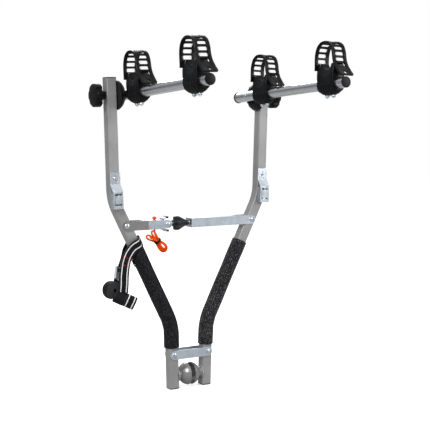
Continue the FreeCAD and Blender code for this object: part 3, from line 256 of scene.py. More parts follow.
@functools.cache
def edge_group() -> bpy.types.NodeTree:
    """Mask of the sharp edges, broken up by noise, for worn and polished corners.

    Returns:
        The group's tree.
    """
    build, given, out = new_group("edge_wear", {"Radius": 0.0008, "Amount": 1.0}, ("Mask",))
    rounded = build.node("Bevel", {"Radius": given.outputs["Radius"]}, samples=4).outputs[0]
    flat = build.node("NewGeometry").outputs["Normal"]
    facing = build.node("VectorMath", {0: rounded, 1: flat},
                        operation="DOT_PRODUCT").outputs["Value"]
    edge = build.ramp(build.math("SUBTRACT", 1.0, facing), 0.02, 0.20)
    place = build.node("TexCoord").outputs["Object"]
    broken = build.ramp(build.noise(place, 160.0, 5.0), 0.35, 0.65)
    mask = build.math("MULTIPLY", build.math("MULTIPLY", edge, broken), given.outputs["Amount"])
    build.tree.links.new(mask, out.inputs["Mask"])
    return build.tree


@functools.cache
def streak_group() -> bpy.types.NodeTree:
    """Drawn or rolled metal: streaks that are long along one axis.

    Returns:
        The group's tree.
    """
    lengths = {"Along X": 20.0, "Along Y": 20.0, "Along Z": 20.0}
    build, given, out = new_group("streaks", lengths, ("Height", "Tone"))
    place = build.node("TexCoord").outputs["Object"]
    scale = build.node("CombineXYZ", {axis: given.outputs[axis] for axis in range(3)})
    stretched = build.node("VectorMath", {0: place, 1: scale.outputs[0]},
                           operation="MULTIPLY").outputs["Vector"]
    build.tree.links.new(build.noise(stretched, 1.0, 6.0), out.inputs["Height"])
    build.tree.links.new(build.noise(stretched, 0.25, 2.0), out.inputs["Tone"])
    return build.tree


@functools.cache
def weave_group() -> bpy.types.NodeTree:
    """Ribbed weave of webbing over its own UV map, in metres: a height, and a tone that follows the
    height for painted shade in the hollows and painted highlight on the ribs.

    Returns:
        The group's tree.
    """
    build, given, out = new_group("weave", {"Pitch": 0.0011}, ("Height", "Tone"))
    spot = build.node("SeparateXYZ", {0: build.node("UVMap").outputs[0]})
    across = build.math("DIVIDE", spot.outputs[0], given.outputs["Pitch"])
    along = build.math("DIVIDE", spot.outputs[1], given.outputs["Pitch"])
    turn = build.math("MULTIPLY", across, math.pi)
    lean = build.math("MULTIPLY", build.math("ADD", along, build.math("MULTIPLY", across, 0.5)),
                      math.pi)
    ribs = build.math("ABSOLUTE", build.math("SINE", turn))
    picks = build.math("ABSOLUTE", build.math("SINE", lean))
    height = build.math("ADD", build.math("MULTIPLY", ribs, 0.6),
                        build.math("MULTIPLY", picks, 0.4))
    build.tree.links.new(height, out.inputs["Height"])
    # Tone: the ribs' height times slow random noise, giving painted highlight on the ribs and
    # painted shade in the hollows.
    slow = build.noise(build.node("TexCoord").outputs["Object"], 60.0, 3.0)
    build.tree.links.new(build.math("MULTIPLY", height, build.math("ADD", slow, 0.5)),
                         out.inputs["Tone"])
    return build.tree


@functools.cache
def net_group() -> bpy.types.NodeTree:
    """Diamond net over a sleeve's own UV map, in metres.

    Returns:
        The group's tree.
    """
    build, given, out = new_group("net", {"Across": 335.0, "Along": 240.0}, ("Height",))
    spot = build.node("SeparateXYZ", {0: build.node("UVMap").outputs[0]})
    across = build.math("MULTIPLY", spot.outputs[0], given.outputs["Across"])
    along = build.math("MULTIPLY", spot.outputs[1], given.outputs["Along"])
    threads = []
    for operation in ("ADD", "SUBTRACT"):
        slanted = build.math("MULTIPLY", build.math(operation, across, along), math.pi)
        wave = build.math("ABSOLUTE", build.math("SINE", slanted))
        threads.append(build.math("POWER", wave, 3.0))
    build.tree.links.new(build.math("MAXIMUM", *threads), out.inputs["Height"])
    return build.tree


# --------------------------------------------------------------------------- finishes

Colour = tuple[float, float, float]


def opaque(colour: Colour) -> tuple[float, float, float, float]:
    """Colour with full alpha."""
    return (*colour, 1.0)


def shaded(name: str, settings: dict[str, float]) -> tuple[Tree, bpy.types.Node]:
    """Start a material with one surface shader.

    Args:
        name: Name of the material.
        settings: Constant values, set on the shader's own sockets.

    Returns:
        Its tree and its shader.
    """
    material = bpy.data.materials.new(name)
    material.use_nodes = True
    material.node_tree.nodes.clear()
    build = Tree(material.node_tree)
    surface = build.node("BsdfPrincipled", dict(settings))
    build.node("OutputMaterial", {"Surface": surface.outputs[0]})
    return build, surface


def plug_in(build: Tree, surface: bpy.types.Node, links: dict[str, Any]) -> None:
    """Link changing colours and values to the shader's sockets."""
    for name, socket in links.items():
        build.tree.links.new(socket, surface.inputs[name])


def bumped(build: Tree, height: Any, distance: float, strength: float = 1.0,
           edge: float = 0.0) -> Any:
    """Return a bumped normal, on edges that are rounded by a radius where one is given.

    Args:
        build: Material's tree.
        height: Height socket.
        distance: Height of the relief, in metres.
        strength: Strength of the relief.
        edge: Radius of the rounded edges, in metres; 0 for none.

    Returns:
        The normal output.
    """
    inputs = {"Height": height, "Distance": distance, "Strength": strength}
    if edge:
        inputs["Normal"] = build.node("Bevel", {"Radius": edge}, samples=4).outputs[0]
    return build.node("Bump", inputs).outputs[0]


@dataclass(frozen=True)
class Paint:
    """Satin silver-grey paint over steel, with bare edges here and there."""

    name: str
    colour: Colour
    worn: Colour = (0.62, 0.62, 0.63)
    roughness: float = 0.42
    metallic: float = 0.35
    wear: float = 0.35

    def material(self) -> bpy.types.Material:
        """Build the paint.

        Returns:
            The material.
        """
        build, surface = shaded(self.name, {"Metallic": self.metallic, "Coat Weight": 0.15,
                                            "Coat Roughness": 0.25})
        grain = build.group(grain_group(), {"Scale": 1500.0})
        edges = build.group(edge_group(), {"Radius": 0.0009, "Amount": self.wear})
        dark = opaque(tuple(part * 0.88 for part in self.colour))
        light = opaque(tuple(min(part * 1.10, 1.0) for part in self.colour))
        base = build.mix(build.ramp(grain.outputs["Tone"], 0.3, 0.7), dark, light)
        roughness = build.math("ADD", build.math("MULTIPLY", grain.outputs["Tone"], 0.14),
                               self.roughness - 0.07)
        plug_in(build, surface, {
            "Base Color": build.mix(edges.outputs["Mask"], base, opaque(self.worn)),
            "Roughness": roughness,
            "Normal": bumped(build, grain.outputs["Height"], 0.00005, 0.35, 0.0005)})
        return bpy.data.materials[self.name]


@dataclass(frozen=True)
class Plating:
    """Bright zinc plating with a bluish cast and faint rolling streaks."""

    name: str
    pale: Colour = (0.68, 0.73, 0.77)
    cast: Colour = (0.50, 0.57, 0.63)
    streaks: tuple[float, float, float] = (40.0, 300.0, 420.0)
    roughness: float = 0.30

    def material(self) -> bpy.types.Material:
        """Build the plating.

        Returns:
            The material.
        """
        build, surface = shaded(self.name, {"Metallic": 1.0})
        lengths = dict(zip(("Along X", "Along Y", "Along Z"), self.streaks))
        drawn = build.group(streak_group(), lengths)
        edges = build.group(edge_group(), {"Radius": 0.0006, "Amount": 0.6})
        place = build.node("TexCoord").outputs["Object"]
        cloud = build.ramp(build.noise(place, 55.0, 4.0), 0.38, 0.62)
        tone = build.math("MULTIPLY", build.math("ADD", cloud, drawn.outputs["Tone"]), 0.5)
        base = build.mix(tone, opaque(self.cast), opaque(self.pale))
        roughness = build.math("ADD", build.math("MULTIPLY", drawn.outputs["Height"], 0.22),
                               self.roughness - 0.08)
        plug_in(build, surface, {
            "Base Color": build.mix(edges.outputs["Mask"], base, opaque((0.86, 0.87, 0.88))),
            "Roughness": roughness,
            "Normal": bumped(build, drawn.outputs["Height"], 0.00002, 0.25, 0.0004)})
        return bpy.data.materials[self.name]


@dataclass(frozen=True)
class Moulded:
    """Black moulded plastic or rubber with a pebbled grain."""

    name: str
    colour: Colour = (0.0020, 0.0020, 0.0025)
    roughness: float = 0.30
    pebble: float = 1300.0
    depth: float = 0.00005
    gloss: float = 0.17

    def material(self) -> bpy.types.Material:
        """Build the moulded finish.

        Returns:
            The material.
        """
        build, surface = shaded(self.name, {"Specular IOR Level": self.gloss})
        grain = build.group(grain_group(), {"Scale": self.pebble})
        edges = build.group(edge_group(), {"Radius": 0.0009, "Amount": 0.5})
        pale = opaque(tuple(part * 2.0 + 0.001 for part in self.colour))
        base = build.mix(build.ramp(grain.outputs["Tone"], 0.35, 0.7), opaque(self.colour), pale)
        scuffed = opaque(tuple(part * 3.0 + 0.008 for part in self.colour))
        roughness = build.math("ADD", build.math("MULTIPLY", grain.outputs["Tone"], 0.2),
                               self.roughness - 0.1)
        plug_in(build, surface, {
            "Base Color": build.mix(edges.outputs["Mask"], base, scuffed),
            "Roughness": roughness,
            "Normal": bumped(build, grain.outputs["Height"], self.depth, 0.5, 0.0006)})
        return bpy.data.materials[self.name]


@dataclass(frozen=True)
class Foam:
    """Dark closed-cell foam, smooth or with a netted skin that has painted glints in its cells."""

    name: str
    skin: FoamSkin
    colour: Colour = (0.0060, 0.0058, 0.0068)

    def material(self) -> bpy.types.Material:
        """Build the foam.

        Returns:
            The material.
        """
        netted = self.skin is FoamSkin.NETTED
        build, surface = shaded(self.name, {"Specular IOR Level": 0.28 if netted else 0.12})
        place = build.node("TexCoord").outputs["Object"]
        cells = build.node("TexVoronoi", {"Vector": place, "Scale": 900.0}).outputs["Distance"]
        patches = build.ramp(build.noise(place, 210.0, 5.0), 0.42, 0.72)
        pale = opaque(tuple(part * 4.5 for part in self.colour))
        base = build.mix(patches, opaque(self.colour), pale)
        height, depth, roughness = cells, 0.00018, 0.50
        if netted:
            net = build.group(net_group(), {"Across": 170.0, "Along": 150.0}).outputs["Height"]
            # Painted highlight: noise picks spots in the net's cells, away from the threads, and
            # colours them pale grey as glints.
            glints = build.ramp(build.noise(place, 300.0, 2.0), 0.48, 0.62)
            painted_glint_mask = build.math("MULTIPLY", build.ramp(net, 0.6, 0.05), glints)
            base = build.mix(painted_glint_mask, opaque((0.003, 0.003, 0.0035)), opaque((0.23, 0.225, 0.23)))
            height = build.math("ADD", build.math("MULTIPLY", net, 3.0), cells)
            depth, roughness = 0.00060, 0.26
        rough = build.math("ADD", build.math("MULTIPLY", patches, 0.18), roughness)
        plug_in(build, surface, {"Base Color": base, "Roughness": rough,
                                 "Normal": bumped(build, height, depth, 0.8)})
        return bpy.data.materials[self.name]


@dataclass(frozen=True)
class Webbing:
    """Black ribbed webbing, plain or with two white stripes and a sewn box of red thread."""

    name: str
    striped: bool
    colour: Colour = (0.0022, 0.0022, 0.0026)
    width: float = 0.026
    stripes: tuple[float, float] = (0.0058, 0.0202)
    stripe_width: float = 0.0024
    sewn_from: float = SEWN_FROM
    sewn_to: float = 1.0445
    sewn_sides: tuple[float, float] = (0.0030, 0.0230)

    def near(self, build: Tree, value: Any, centre: float, half: float) -> Any:
        """Return 1 where a value is within half of a centre, with a soft rim."""
        away = build.math("ABSOLUTE", build.math("SUBTRACT", value, centre))
        return build.math("SUBTRACT", 1.0, build.ramp(away, half * 0.8, half * 1.2))

    def between(self, build: Tree, value: Any, low: float, high: float) -> Any:
        """Return 1 where a value lies between two others."""
        return build.math("MULTIPLY", build.math("GREATER_THAN", value, low),
                          build.math("LESS_THAN", value, high))

    def dashes(self, build: Tree, value: Any, length: float) -> Any:
        """Return 1 on each stitch and 0 in the holes between stitches."""
        part = build.math("FRACT", build.math("DIVIDE", value, length))
        return build.math("LESS_THAN", part, 0.68)

    def stitches(self, build: Tree, across: Any, along: Any) -> Any:
        """Return the mask of the sewn box.

        Args:
            build: Material's tree.
            across: Distance across the webbing.
            along: Distance along the webbing.

        Returns:
            1 on the stitches, 0 elsewhere.
        """
        rows = []
        inside = self.between(build, along, self.sewn_from, self.sewn_to)
        for side in self.sewn_sides:
            line = build.math("MULTIPLY", self.near(build, across, side, 0.0005), inside)
            rows.append(build.math("MULTIPLY", line, self.dashes(build, along, 0.0034)))
        within = self.between(build, across, *self.sewn_sides)
        for end in (self.sewn_from, self.sewn_to):
            line = build.math("MULTIPLY", self.near(build, along, end, 0.0006), within)
            rows.append(build.math("MULTIPLY", line, self.dashes(build, across, 0.0034)))
        return functools.reduce(lambda one, other: build.math("MAXIMUM", one, other), rows)

    def material(self) -> bpy.types.Material:
        """Build the webbing.

        Returns:
            The material.
        """
        build, surface = shaded(self.name, {"Specular IOR Level": 0.15})
        spot = build.node("SeparateXYZ", {0: build.node("UVMap").outputs[0]})
        weave = build.group(weave_group(), {})
        # Painted shade and highlight: the black is paler on the weave's ribs and darker in its
        # hollows, following the weave's tone.
        pale = opaque(tuple(part * 3.0 for part in self.colour))
        base = build.mix(build.ramp(weave.outputs["Tone"], 0.2, 1.0), opaque(self.colour), pale)
        rims = [self.near(build, spot.outputs[0], rim, 0.0009) for rim in (0.0, self.width)]
        base = build.mix(build.math("MAXIMUM", *rims), base, opaque((0.032, 0.032, 0.034)))
        height = weave.outputs["Height"]
        if self.striped:
            lines = [self.near(build, spot.outputs[0], stripe, self.stripe_width / 2)
                     for stripe in self.stripes]
            # The white stripes get the same painted shade in the hollows and painted highlight on
            # the ribs.
            white = build.mix(weave.outputs["Tone"], opaque((0.50, 0.50, 0.49)),
                              opaque((0.86, 0.86, 0.84)))
            base = build.mix(build.math("MAXIMUM", *lines), base, white)
            thread = self.stitches(build, spot.outputs[0], spot.outputs[1])
            base = build.mix(thread, base, opaque((0.52, 0.015, 0.03)))
            height = build.math("ADD", height, build.math("MULTIPLY", thread, 2.0))
        plug_in(build, surface, {
            "Base Color": base,
            "Roughness": build.math("SUBTRACT", 0.78, build.math("MULTIPLY", height, 0.12)),
            "Normal": bumped(build, height, 0.00022, 0.7)})
        return bpy.data.materials[self.name]


@dataclass(frozen=True)
class Braid:
    """Bright orange braided cord, with painted shade in the grooves between its strands."""

    name: str
    colour: Colour = (0.90, 0.095, 0.002)
    # colour in the grooves between the strands: painted shade
    shade: Colour = (0.44, 0.018, 0.001)
    turns: float = 130.0

    def material(self) -> bpy.types.Material:
        """Build the braid.

        Returns:
            The material.
        """
        build, surface = shaded(self.name, {"Specular IOR Level": 0.12})
        spot = build.node("SeparateXYZ", {0: build.node("TexCoord").outputs["UV"]})
        along = build.math("MULTIPLY", spot.outputs[0], self.turns)
        around = build.math("MULTIPLY", spot.outputs[1], 4.0)
        strands = []
        for operation in ("ADD", "SUBTRACT"):
            slanted = build.math("MULTIPLY", build.math(operation, along, around), math.pi)
            strands.append(build.math("ABSOLUTE", build.math("SINE", slanted)))
        height = build.math("MULTIPLY", *strands)
        place = build.node("TexCoord").outputs["Object"]
        fuzz = build.noise(place, 2400.0, 2.0)
        # Painted shade: the colour falls to the shade colour in the grooves between strands, broken
        # up by random fuzz.
        tone = build.math("ADD", build.math("MULTIPLY", height, 0.8),
                          build.math("MULTIPLY", fuzz, 0.3))
        plug_in(build, surface, {
            "Base Color": build.mix(build.ramp(tone, 0.0, 0.55), opaque(self.shade),
                                    opaque(self.colour)),
            "Roughness": build.math("SUBTRACT", 0.62, build.math("MULTIPLY", tone, 0.12)),
            "Normal": bumped(build, tone, 0.00025, 0.6)})
        return bpy.data.materials[self.name]


# --------------------------------------------------------------------------- meshes

def finished(mesh: bmesh.types.BMesh, name: str, materials: Sequence[bpy.types.Material],
             smooth: bool = True, crease: float | None = None) -> bpy.types.Object:
    """Turn a bmesh into an object at the origin.

    Args:
        mesh: Finished bmesh, in metres; it is freed.
        name: Name of the piece.
        materials: Its materials, in slot order.
        smooth: Whether its faces are shaded smooth.
        crease: Angle in degrees past which an edge is shaded sharp.

    Returns:
        The object, linked to the scene.
    """
    data = bpy.data.meshes.new(name)
    for face in mesh.faces:
        face.smooth = smooth
    mesh.to_mesh(data)
    mesh.free()
    if crease is not None:
        data.set_sharp_from_angle(angle=math.radians(crease))
    for material in materials:
        data.materials.append(material)
    piece = bpy.data.objects.new(name, data)
    bpy.context.scene.collection.objects.link(piece)
    return piece


@dataclass
class Sweep:
    """Closed outline carried along frames by extrusion, with a UV map in metres.

    The outline lies in its frame's X (across) and Y (out) directions, and the frame's Z runs
    along the sweep.
    """

    mesh: bmesh.types.BMesh
    outline: Sequence[tuple[float, float]]
    slot: int = 0
    start: float = 0.0
    around: bool = False
    length: float = 0.0

    def layer(self, name: str) -> Any:
        """Return the vertex layer of that name."""
        layers = self.mesh.verts.layers.float
        return layers.get(name) or layers.new(name)

    def run(self, frames: Sequence[Matrix], capped: bool = True) -> "Sweep":
        """Carry the outline through the frames.

        Args:
            frames: Places of the outline, one after another.
            capped: Whether both ends are closed.

        Returns:
            The sweep itself, with its length.
        """
        across, along = self.layer("across"), self.layer("along")
        ring = [self.mesh.verts.new(frames[0] @ Vector((x * MM, y * MM, 0)))
                for x, y in self.outline]
        girth = 0.0
        for index, vert in enumerate(ring):
            if self.around and index:
                girth += (vert.co - ring[index - 1].co).length
            width = (self.outline[index][0] - self.outline_left()) * MM
            vert[across] = girth if self.around else width
            vert[along] = self.start
        edges = [self.mesh.edges.new(pair) for pair in zip(ring, ring[1:] + ring[:1])]
        first, new_faces = edges, []
        for before, after in zip(frames, frames[1:]):
            made = bmesh.ops.extrude_edge_only(self.mesh, edges=edges)["geom"]
            verts = [item for item in made if isinstance(item, bmesh.types.BMVert)]
            edges = [item for item in made if isinstance(item, bmesh.types.BMEdge)
                     and all(vert in verts for vert in item.verts)]
            new_faces += [item for item in made if isinstance(item, bmesh.types.BMFace)]
            bmesh.ops.transform(self.mesh, matrix=after @ before.inverted(), verts=verts)
            self.length += (after.translation - before.translation).length
            for vert in verts:
                vert[along] = self.start + self.length
        if capped:
            for loop in (first, edges):
                new_faces += bmesh.ops.contextual_create(self.mesh, geom=loop)["faces"]
        self.unwrap(new_faces, across, along, girth)
        return self

    def outline_left(self) -> float:
        """Return the outline's lowest place across, in millimetres."""
        return min(x for x, _ in self.outline)

    def unwrap(self, faces: Iterable[bmesh.types.BMFace], across: Any, along: Any,
               girth: float) -> None:
        """Write the UV map of the new faces and set their material.

        Args:
            faces: New faces of the sweep.
            across: Layer of distances across.
            along: Layer of distances along.
            girth: Distance round the outline, where it is wrapped.
        """
        uv = self.mesh.loops.layers.uv.verify()
        for face in faces:
            face.material_index = self.slot
            places = [loop.vert[across] for loop in face.loops]
            seam = self.around and max(places) - min(places) > girth / 2
            for loop, place in zip(face.loops, places):
                wrapped = place + girth * len(self.outline) / (len(self.outline) - 1) \
                    if seam and place < girth / 4 else place
                loop[uv].uv = (wrapped, loop.vert[along])


def smoothed(points: Sequence[Vector], steps: int) -> list[Vector]:
    """Return points on one smooth run through the given ones.

    Args:
        points: Points that the run passes through.
        steps: Number of parts between two points.

    Returns:
        Points on the run.
    """
    path = [points[0] * 2 - points[1], *points, points[-1] * 2 - points[-2]]
    spots = []
    for index in range(1, len(path) - 2):
        before, here, there, beyond = path[index - 1:index + 3]
        for step in range(steps):
            t = step / steps
            spots.append(0.5 * ((2 * here) + (there - before) * t
                                + (2 * before - 5 * here + 4 * there - beyond) * t * t
                                + (3 * here - before - 3 * there + beyond) * t ** 3))
    return [*spots, points[-1].copy()]


def frame_at(place: Vector, along: Vector, out: Vector) -> Matrix:
    """Frame at a place, with Z along the run and Y as near to out as it can be.

    Args:
        place: The frame's origin.
        along: Direction of the run.
        out: Direction that the outline's Y should have.

    Returns:
        The frame.
    """
    forward = along.normalized()
    side = out.cross(forward).normalized()
    upright = forward.cross(side)
    turn = Matrix((side, upright, forward)).transposed().to_4x4()
    return Matrix.Translation(place) @ turn


def round_outline(across: float, out: float, corners: int = 12) -> list[tuple[float, float]]:
    """Outline of a circle or an ellipse, from its half sizes in millimetres."""
    angles = [math.tau * index / corners for index in range(corners)]
    return [(across * math.cos(angle), out * math.sin(angle)) for angle in angles]


def band_outline(width: float, thick: float) -> list[tuple[float, float]]:
    """Outline of a flat band with round selvedges, in millimetres.

    Args:
        width: Width of the band.
        thick: Thickness of the band.

    Returns:
        The outline's points.
    """
    half, rim = width / 2, thick / 2
    corners = [(-half, 0), (-half + rim * 0.3, -rim * 0.8), (-half + rim, -rim), (0, -rim),
               (half - rim, -rim), (half - rim * 0.3, -rim * 0.8), (half, 0),
               (half - rim * 0.3, rim * 0.8), (half - rim, rim), (0, rim),
               (-half + rim, rim), (-half + rim * 0.3, rim * 0.8)]
    return corners


# --------------------------------------------------------------------------- pieces

@dataclass
class FoamSleeve:
    """Foam tube drawn over one arm's lower bend, with soft ends and faint folds."""

    side: Side
    skin: FoamSkin
    radius: float = 19.0
    bore: float = 12.0
    low: float = 19.0
    bend_start: float = 48.71
    bend_radius: float = 120.0
    high: float = 272.0
    segments: int = 64
    # folds inside the lower bend: metres along the sleeve, then millimetres deep
    fold_middle: float = 0.052
    fold_reach: float = 0.030
    fold_pitch: float = 0.0042
    fold_depth: float = 0.35
    wave_depth: float = 0.22
    shrink: float = 0.25

    def centreline(self) -> list[Matrix]:
        """Return frames along the arm's middle, in the arm's frame.

        Returns:
            The frames, from the sleeve's low end up.
        """
        frames = [shifted(0, 0, self.low + (self.bend_start - self.low) * step / 5)
                  for step in range(5)]
        centre = shifted(-self.bend_radius, 0, self.bend_start)
        frames += [centre @ turned(-ARM_SLANT * step / 12, "Y") @ shifted(self.bend_radius, 0, 0)
                   for step in range(13)]
        top = frames[-1]
        rest = (self.high - top.translation.z / MM) / math.cos(math.radians(ARM_SLANT))
        return frames + [top @ shifted(0, 0, rest * step / 30) for step in range(1, 31)]

    def mesh(self) -> bmesh.types.BMesh:
        """Build the sleeve's skin, its rounded ends and its folds.

        Returns:
            The sleeve's bmesh, in the object's frame.
        """
        mesh = bmesh.new()
        sweep = Sweep(mesh, round_outline(self.radius, self.radius, self.segments), around=True)
        frames = self.centreline()
        sweep.run(frames, capped=False)
        along = sweep.layer("along")
        for vert in mesh.verts:
            place = vert[along]
            nearest = min(frames, key=lambda spot: (spot.translation - vert.co).length)
            out = vert.co - nearest.translation
            inner = max(-out.x, 0) / (self.radius * MM)
            bend = math.exp(-((place - self.fold_middle) / self.fold_reach) ** 2)
            fold = bend * inner * math.sin(place / self.fold_pitch) * self.fold_depth
            slow = math.sin(place * 61 + 1.3 * math.sin(place * 23 + out.y * 90)) * self.wave_depth
            vert.co += out.normalized() * (fold + slow - self.shrink) * MM
        ends = [edge for edge in mesh.edges if edge.is_boundary]
        for at_low in (True, False):
            ring = [edge for edge in ends if (edge.verts[0][along] < 0.01) == at_low]
            self.close_end(mesh, ring, frames[0] if at_low else frames[-1], -1 if at_low else 1)
        bmesh.ops.recalc_face_normals(mesh, faces=mesh.faces)
        mesh.transform(self.side.arm)
        if self.side is Side.RIGHT:
            bmesh.ops.reverse_faces(mesh, faces=mesh.faces)
        return mesh

    def close_end(self, mesh: bmesh.types.BMesh, ring: list[Any], place: Matrix, way: int) -> None:
        """Turn one end in over a soft rim as far as the arm.

        Args:
            mesh: Sleeve's bmesh.
            ring: Edges of the open end.
            place: Frame of the end.
            way: 1 at the high end, -1 at the low end.
        """
        for radius, out in ((self.radius - 0.5, 0.9), (self.radius - 1.6, 1.4),
                            (self.radius - 3.0, 1.3), (self.bore, 0.4)):
            made = bmesh.ops.extrude_edge_only(mesh, edges=ring)["geom"]
            verts = [item for item in made if isinstance(item, bmesh.types.BMVert)]
            ring = [item for item in made if isinstance(item, bmesh.types.BMEdge)
                    and all(vert in verts for vert in item.verts)]
            for vert in verts:
                local = place.inverted() @ vert.co
                flat = Vector((local.x, local.y, 0)).normalized() * radius * MM
                vert.co = place @ Vector((flat.x, flat.y, way * out * MM))

    def build(self) -> bpy.types.Object:
        """Make the sleeve and hand it to its arm.

        Returns:
            The sleeve.
        """
        node = f"foam_sleeve_{self.side.value}"
        finish = Foam(f"{self.skin.value}_foam", self.skin)
        piece = finished(self.mesh(), f"foam_{self.side.value}", [finish.material()])
        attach(piece, f"arm_{self.side.value}")
        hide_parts(node)
        return piece


@dataclass
class TieStrap:
    """Striped webbing strap: its loop round the left arm, two hanging bands and the rolls."""

    width: float = 26.0
    thick: float = 2.0
    loop_radius: float = 20.2
    loop_tilt: float = 43.0
    band_front: float = 23.0
    front: tuple = ((-5, 20.5), (-21, 11.1), (-34.8, -6.1), (-41.8, -28), (-44.7, -46.8),
                    (-45.8, -68.6), (-47, -87.4), (-47.5, -94))
    rear: tuple = ((12, 4), (4, -8), (-3, -26), (-13, -49.9), (-23, -72), (-27, -84))
    rear_twist: float = -34.0
    roll_radius: float = 22.0
    roll_core: float = 4.5
    roll_pitch: float = 2.25
    buckle_slip: float = 5.0
    rear_top: tuple = (-23.1, 22.5, 8.67)
    rear_lean: float = 9.0
    roll_middle: tuple = (-68.2, 4.3, -87.5)
    aslant_step: tuple = (3.96, -16.28, -11.88)
    aslant_turn: float = 115.0
    aslant_axis: tuple = (0.43, 0.9, 0.0)

    def wrap_stops(self) -> list[tuple[Vector, Vector]]:
        """Return places and outward directions from behind the arm round its right edge.

        Returns:
            Pairs of place and outward direction.
        """
        centre = STRAP_LOOP @ turned(-ARM_SLANT, "Y")
        slope = math.tan(math.radians(self.loop_tilt))
        stops = []
        for angle in range(190, -11, -25):
            out = Vector((math.cos(math.radians(angle)), math.sin(math.radians(angle)), 0))
            spot = out * self.loop_radius + Vector((0, 0, slope * self.loop_radius * out.x))
            stops.append((centre @ (spot * MM), (centre.to_3x3() @ out).normalized()))
        return stops

    def band_stops(self, place: Matrix, stops: Sequence[tuple[float, float]], twist: float = 0.0
                   ) -> list[tuple[Vector, Vector]]:
        """Return places and outward directions down a hanging band, turned round its run."""
        facing = Matrix.Rotation(math.radians(-twist), 3, "Z") @ Vector((0, -1, 0))
        out = (place.to_3x3() @ facing).normalized()
        return [(place @ (Vector((x, 0, z)) * MM), out) for x, z in stops]

    def band_frames(self, stops: Sequence[tuple[Vector, Vector]]) -> list[Matrix]:
        """Return frames on one smooth run through the stops, with a faint ripple.

        Args:
            stops: Pairs of place and outward direction.

        Returns:
            The frames, evenly stepped between the stops.
        """
        spots = smoothed([spot for spot, _ in stops], 8)
        outs = smoothed([out for _, out in stops], 8)
        frames = []
        for index, (spot, out) in enumerate(zip(spots, outs)):
            before, after = spots[max(index - 1, 0)], spots[min(index + 1, len(spots) - 1)]
            ripple = 0.35 * math.sin(index * 0.45) * MM
            frames.append(frame_at(spot + out * ripple, after - before, out))
        return frames

    def roll_frames(self, place: Matrix, radius: float, phase: float) -> list[Matrix]:
        """Return frames along a flat spiral round the place's Z, from its core outwards.

        Args:
            place: Frame with its Z along the roll's axis.
            radius: Outer radius of the roll.
            phase: Where the spiral starts, in radians.

        Returns:
            The frames along the webbing.
        """
        turns = (radius - self.thick / 2 - self.roll_core) / self.roll_pitch
        count = int(turns * 28)
        frames = []
        for step in range(count + 1):
            angle = math.tau * turns * step / count
            reach = self.roll_core + self.roll_pitch * angle / math.tau
            reach += 0.35 * math.sin(angle * 2 + phase) * reach / radius
            out = Vector((math.cos(angle + phase), math.sin(angle + phase), 0))
            frames.append(place @ frame_at(out * reach * MM, Vector((-out.y, out.x, 0)), out))
        return frames

    def build(self) -> list[bpy.types.Object]:
        """Make the whole strap as one piece of webbing on the left arm, and its buckle.

        Returns:
            The strap and its buckle.
        """
        mesh = bmesh.new()
        outline = band_outline(self.width, self.thick)
        rear_side, rear_back, rear_up = self.rear_top
        rear = (STRAP @ shifted(rear_side, rear_back - self.thick / 2, rear_up)
                @ turned(-self.rear_lean, "X"))
        roll_side, roll_back, roll_up = self.roll_middle
        on_end = STRAP @ shifted(roll_side, roll_back - self.width / 2, roll_up) @ turned(90, "X")
        aslant = (STRAP @ shifted(*(spot + step for spot, step in zip(self.roll_middle,
                                                                      self.aslant_step)))
                  @ Matrix.Rotation(math.radians(self.aslant_turn), 4, Vector(self.aslant_axis)))
        stops = self.wrap_stops() + self.band_stops(STRAP @ shifted(0, -self.band_front, 0),
                                                    self.front)
        wrap = self.band_frames(stops)
        sewn = (len(self.wrap_stops()) + 2) * 8 + 2
        lead = sum((after.translation - before.translation).length
                   for before, after in zip(wrap[:sewn], wrap[1:sewn + 1]))
        inner = aslant @ shifted(0, 0, self.width * 0.5)
        outer = aslant @ shifted(0, 0, self.width * 1.5)
        runs = (
            (wrap, 0, SEWN_FROM - lead, True),
            (self.band_frames(self.band_stops(rear, self.rear, self.rear_twist)), 1, 2.0, True),
            (self.roll_frames(on_end, self.roll_radius, 2.2), 1, 3.0, True),
            (self.roll_frames(inner, self.roll_radius * 0.80, 0.6), 1, 5.0, True),
            (self.roll_frames(outer, self.roll_radius * 0.76, 4.0), 0, 7.0, True),
        )
        length = 0.0
        for frames, slot, start, capped in runs:
            length += Sweep(mesh, outline, slot=slot, start=start).run(frames, capped).length
        bmesh.ops.recalc_face_normals(mesh, faces=mesh.faces)
        striped = Webbing("striped_webbing", True).material()
        plain = Webbing("plain_webbing", False).material()
        buckle = self.buckle()
        piece = finished(mesh, "webbing_tie_strap", [striped, plain])
        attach(piece, "arm_left")
        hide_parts("tie_strap", "tie_strap_roll")
        log.info("tie strap: %.0f mm of webbing", length / MM)
        return [piece, buckle]

    def buckle(self) -> bpy.types.Object:
        """Make the cam buckle from its CAD shape, turned with the rear band.

        Returns:
            The buckle.
        """
        mesh = bmesh.new()
        mesh.from_mesh(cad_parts["tie_strap_buckle"].data)
        bmesh.ops.remove_doubles(mesh, verts=mesh.verts, dist=1e-6)
        low, high = (Vector(corner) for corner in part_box("tie_strap_buckle"))
        turn = Matrix.Rotation(math.radians(-self.rear_twist), 3, "Z")
        bmesh.ops.rotate(mesh, verts=mesh.verts, cent=(low + high) / 2, matrix=turn)
        bmesh.ops.translate(mesh, verts=mesh.verts, vec=(0, 0, -self.buckle_slip * MM))
        finish = Plating("zinc_tie_buckle", pale=(0.86, 0.90, 0.93), cast=(0.62, 0.68, 0.73))
        piece = finished(mesh, "tie_buckle", [finish.material()], crease=30)
        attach(piece, "arm_left")
        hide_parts("tie_strap_buckle")
        return piece


